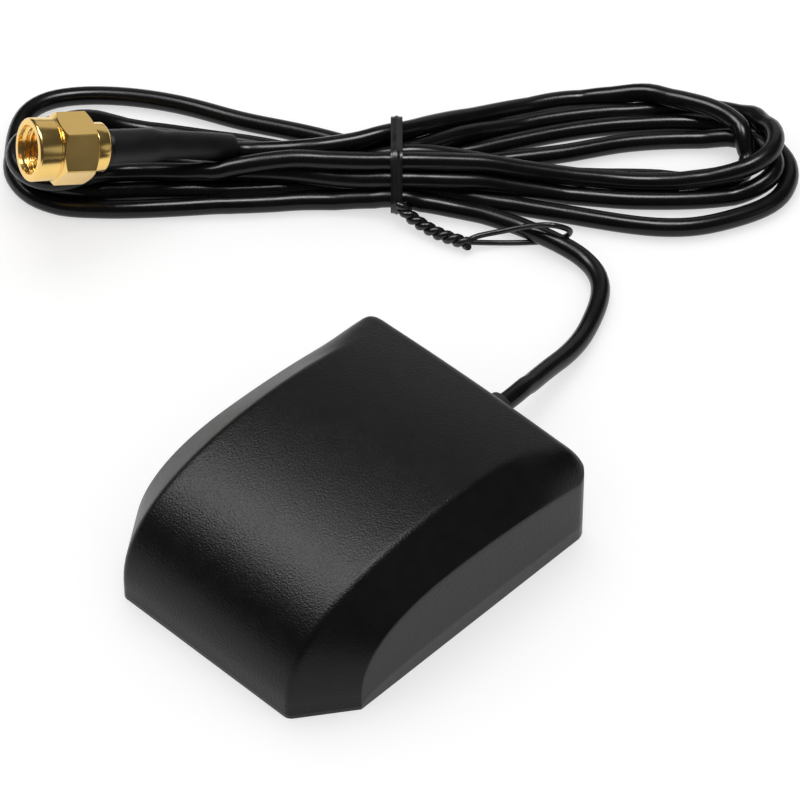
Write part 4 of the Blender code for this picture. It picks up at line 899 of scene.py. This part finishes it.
plugParts = {
    # node, finish, corner softness, and the piece's section as (radius, z) points
    "plugShell": ("plug_body", "gold_plate", 0.08, [
        (2.0, 4.5), (2.35, 4.5), (2.35, 2.6), (1.95, 2.6), (1.95, 1.4), (2.35, 1.4), (2.35, -0.3),
        (3.1, -0.3), (3.1, -1.8), (2.7, -2.2), (0.85, -2.2), (0.85, -7.5), (0.45, -7.5), (0.45, -1.5),
        (1.5, -1.5), (1.5, 3.0), (2.0, 3.0)]),
    "plugDielectric": ("insulator", "white_insulator", 0.05, [
        (0.76, 4.2), (1.7, 4.2), (1.7, 3.3), (1.2, 3.3), (1.2, -1.2), (0.76, -1.2)]),
    "nutRing": ("retaining_ring", "gold_plate", 0.05, [(2.25, 2.3), (2.75, 2.3), (2.75, 1.7), (2.25, 1.7)]),
    "nutSeal": ("sealing_washer", "seal_rubber", 0.1, [(2.65, 3.5), (3.0, 3.5), (3.0, 2.9), (2.65, 2.9)]),
    "leadCrimp": ("crimp_ferrule", "gold_plate", 0.05, [
        (1.15, -2.5), (1.55, -2.5), (1.55, -8.1), (1.15, -8.1)]),
}


def makePlugParts(parts):
    pieces = []
    for name, (node, slot, soft, profile) in parts.items():
        rounded = [(r * mm, z * mm) for r, z in softCorners(profile, soft)]
        piece = addMesh(name, turnedMesh(name, rounded), made[slot], place=plugFrame)
        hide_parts(node)
        pieces.append(piece)
    return pieces


pin = {"radius": 0.46, "tip": 6.4, "taper": 0.7, "back": -0.9}


def makePin(s):
    r, tip = s["radius"], s["tip"]
    nose = [(r * math.sin(t), tip - s["taper"] + s["taper"] * math.cos(t))
            for t in np.linspace(0, math.pi / 2, 9)]
    profile = nose + [(r, s["back"]), (0, s["back"])]
    mesh = turnedMesh("contactPin", [(a * mm, z * mm) for a, z in profile], 48, False)
    piece = addMesh("contactPin", mesh, made["gold_plate"], place=plugFrame)
    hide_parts("centre_contact")
    return piece


sleeve = {"front": -2.5, "wide": 2.15, "step": -8.4, "slope": -11.3, "neck": 1.80, "back": -20.0,
          "bore": 1.50, "wall": 0.3, "frontRound": 0.12, "backRound": 0.1, "wave": 0.012,
          "steps": 72, "rows": 64}


def makeSleeve(s):
    steps, rows = s["steps"], s["rows"]
    outline = []
    for k in range(rows + 1):
        z = s["front"] + (s["back"] - s["front"]) * k / rows
        share = min(1.0, max(0.0, (s["step"] - z) / (s["step"] - s["slope"])))
        share = share * share * (3 - 2 * share)
        outline.append((s["wide"] + (s["neck"] - s["wide"]) * share, z))
    outline[0] = (outline[0][0] - s["frontRound"], outline[0][1])
    outline[-1] = (outline[-1][0] - s["backRound"], outline[-1][1])
    verts = []
    for i in range(steps):
        a = 2 * math.pi * i / steps
        for k, (r, z) in enumerate(outline):
            unevenness = math.sin(3 * a + z * 0.7) * math.sin(z * 0.9) + 0.5 * math.sin(2 * a - z * 1.7)
            r += s["wave"] * unevenness
            verts.append((r * mm * math.cos(a), r * mm * math.sin(a), z * mm))
        for r, z in ((s["bore"], s["back"]), (s["bore"], s["slope"]), (s["wide"] - s["wall"], s["step"]),
                     (s["wide"] - s["wall"], s["front"])):
            verts.append((r * mm * math.cos(a), r * mm * math.sin(a), z * mm))
    down = plugFrame.to_3x3().inverted() @ Vector((0, 0, -1))
    verts = [Vector(v) + down * float(tailDroop(v[2] / mm)) * mm for v in verts]
    mesh = bpy.data.meshes.new("plugSleeve")
    mesh.from_pydata(verts, [], gridFaces(steps, len(outline) + 4, True, True))
    piece = addMesh("plugSleeve", mesh, made["shrink_black"], place=plugFrame)
    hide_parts("heat_shrink")
    return piece


nutPiece = makeNut(nut)
plugPieces = makePlugParts(plugParts) + [makePin(pin), makeSleeve(sleeve), nutPiece]
print("plug made")


# Floor, world and lamps
studio = {
    "floorSize": 6.0, "floorColour": (0.50, 0.50, 0.50), "floorRoughness": 0.9, "floorLift": 0.58,
    "worldLight": 0.74,
    "ceilingHeight": 0.95, "ceilingSize": 60.0, "ceilingColour": 0.06,
    # name: direction from the object, distance, width, height, watts, and what it lights
    "lamps": {
        "bandLamp": ((-0.48, -0.15, 0.86), 0.80, 0.34, 0.34, 4.2, "glossy"),
        "backLamp": ((-0.42, 0.78, 0.42), 0.80, 0.60, 0.50, 0.50, "glossy"),
        "streakLamp": ((0.00, 0.07, 1.00), 0.80, 0.25, 0.25, 4.2, "glossy"),
        "sideLamp": ((0.88, 0.25, 0.40), 0.80, 0.30, 0.30, 0.13, "glossy"),
        "skyLamp": ((-0.30, 0.30, 0.90), 0.85, 0.60, 0.60, 1.7, "diffuse"),
    },
}


def whenSeen(nodes, links):
    # 1 for rays that see or mirror the background
    path = nodes.new("ShaderNodeLightPath")
    total = path.outputs["Is Camera Ray"]
    for kind in ("Is Glossy Ray", "Is Transmission Ray"):
        add = nodes.new("ShaderNodeMath")
        add.operation = "MAXIMUM"
        links.new(total, add.inputs[0])
        links.new(path.outputs[kind], add.inputs[1])
        total = add.outputs[0]
    return total


def makeStage(name, size, height, material):
    half = size / 2
    mesh = bpy.data.meshes.new(name)
    corners = [(-half, -half, height), (half, -half, height), (half, half, height), (-half, half, height)]
    mesh.from_pydata(corners, [], [(0, 1, 2, 3)])
    mesh.materials.append(material)
    sheet = bpy.data.objects.new(name, mesh)
    scene.collection.objects.link(sheet)
    return sheet


def makeFloor(s):
    floor = bpy.data.materials.new("paleFloor")
    floor.use_nodes = True
    nodes, links = floor.node_tree.nodes, floor.node_tree.links
    shader = nodes["Principled BSDF"]
    shader.inputs["Base Color"].default_value = (*s["floorColour"], 1)
    shader.inputs["Roughness"].default_value = s["floorRoughness"]
    shader.inputs["Specular IOR Level"].default_value = 0.0
    shader.inputs["Emission Color"].default_value = (1, 1, 1, 1)
    lift = nodes.new("ShaderNodeMath")
    lift.operation = "MULTIPLY"
    lift.inputs[1].default_value = s["floorLift"]
    links.new(whenSeen(nodes, links), lift.inputs[0])
    links.new(lift.outputs[0], shader.inputs["Emission Strength"])
    makeStage("floor", s["floorSize"], 0.0, floor)


def makeCeiling(s):
    # only mirrored in the object, never seen itself
    dark = bpy.data.materials.new("darkCeiling")
    dark.use_nodes = True
    shader = dark.node_tree.nodes["Principled BSDF"]
    shader.inputs["Base Color"].default_value = (0, 0, 0, 1)
    shader.inputs["Specular IOR Level"].default_value = 0.0
    shader.inputs["Emission Color"].default_value = (1, 1, 1, 1)
    shader.inputs["Emission Strength"].default_value = s["ceilingColour"]
    ceiling = makeStage("ceiling", s["ceilingSize"], s["ceilingHeight"], dark)
    ceiling.visible_camera = ceiling.visible_diffuse = ceiling.visible_shadow = False
    ceiling.visible_transmission = False


def makeRoom(s):
    world = bpy.data.worlds.new("room")
    scene.world = world
    world.use_nodes = True
    nodes, links = world.node_tree.nodes, world.node_tree.links
    sky = nodes["Background"]
    sky.inputs["Color"].default_value = (1, 1, 1, 1)
    level = nodes.new("ShaderNodeMapRange")
    level.inputs["To Min"].default_value = s["worldLight"]
    level.inputs["To Max"].default_value = 1.0
    links.new(whenSeen(nodes, links), level.inputs["Value"])
    links.new(level.outputs["Result"], sky.inputs["Strength"])


def makeLamps(s):
    middle = (Vector(cadBounds[0]) + Vector(cadBounds[1])) / 2
    for name, (direction, distance, width, height, watts, kind) in s["lamps"].items():
        data = bpy.data.lights.new(name, "AREA")
        data.shape = "RECTANGLE"
        data.size, data.size_y, data.energy = width, height, watts
        lamp = bpy.data.objects.new(name, data)
        away = Vector(direction).normalized()
        lamp.location = middle + away * distance
        lamp.rotation_mode = "QUATERNION"
        lamp.rotation_quaternion = away.to_track_quat("Z", "Y")
        lamp.visible_diffuse = kind == "diffuse"
        lamp.visible_glossy = kind == "glossy"
        scene.collection.objects.link(lamp)


makeFloor(studio)
makeCeiling(studio)
makeRoom(studio)
makeLamps(studio)
scene.view_settings.view_transform = "Standard"
print("studio lit")
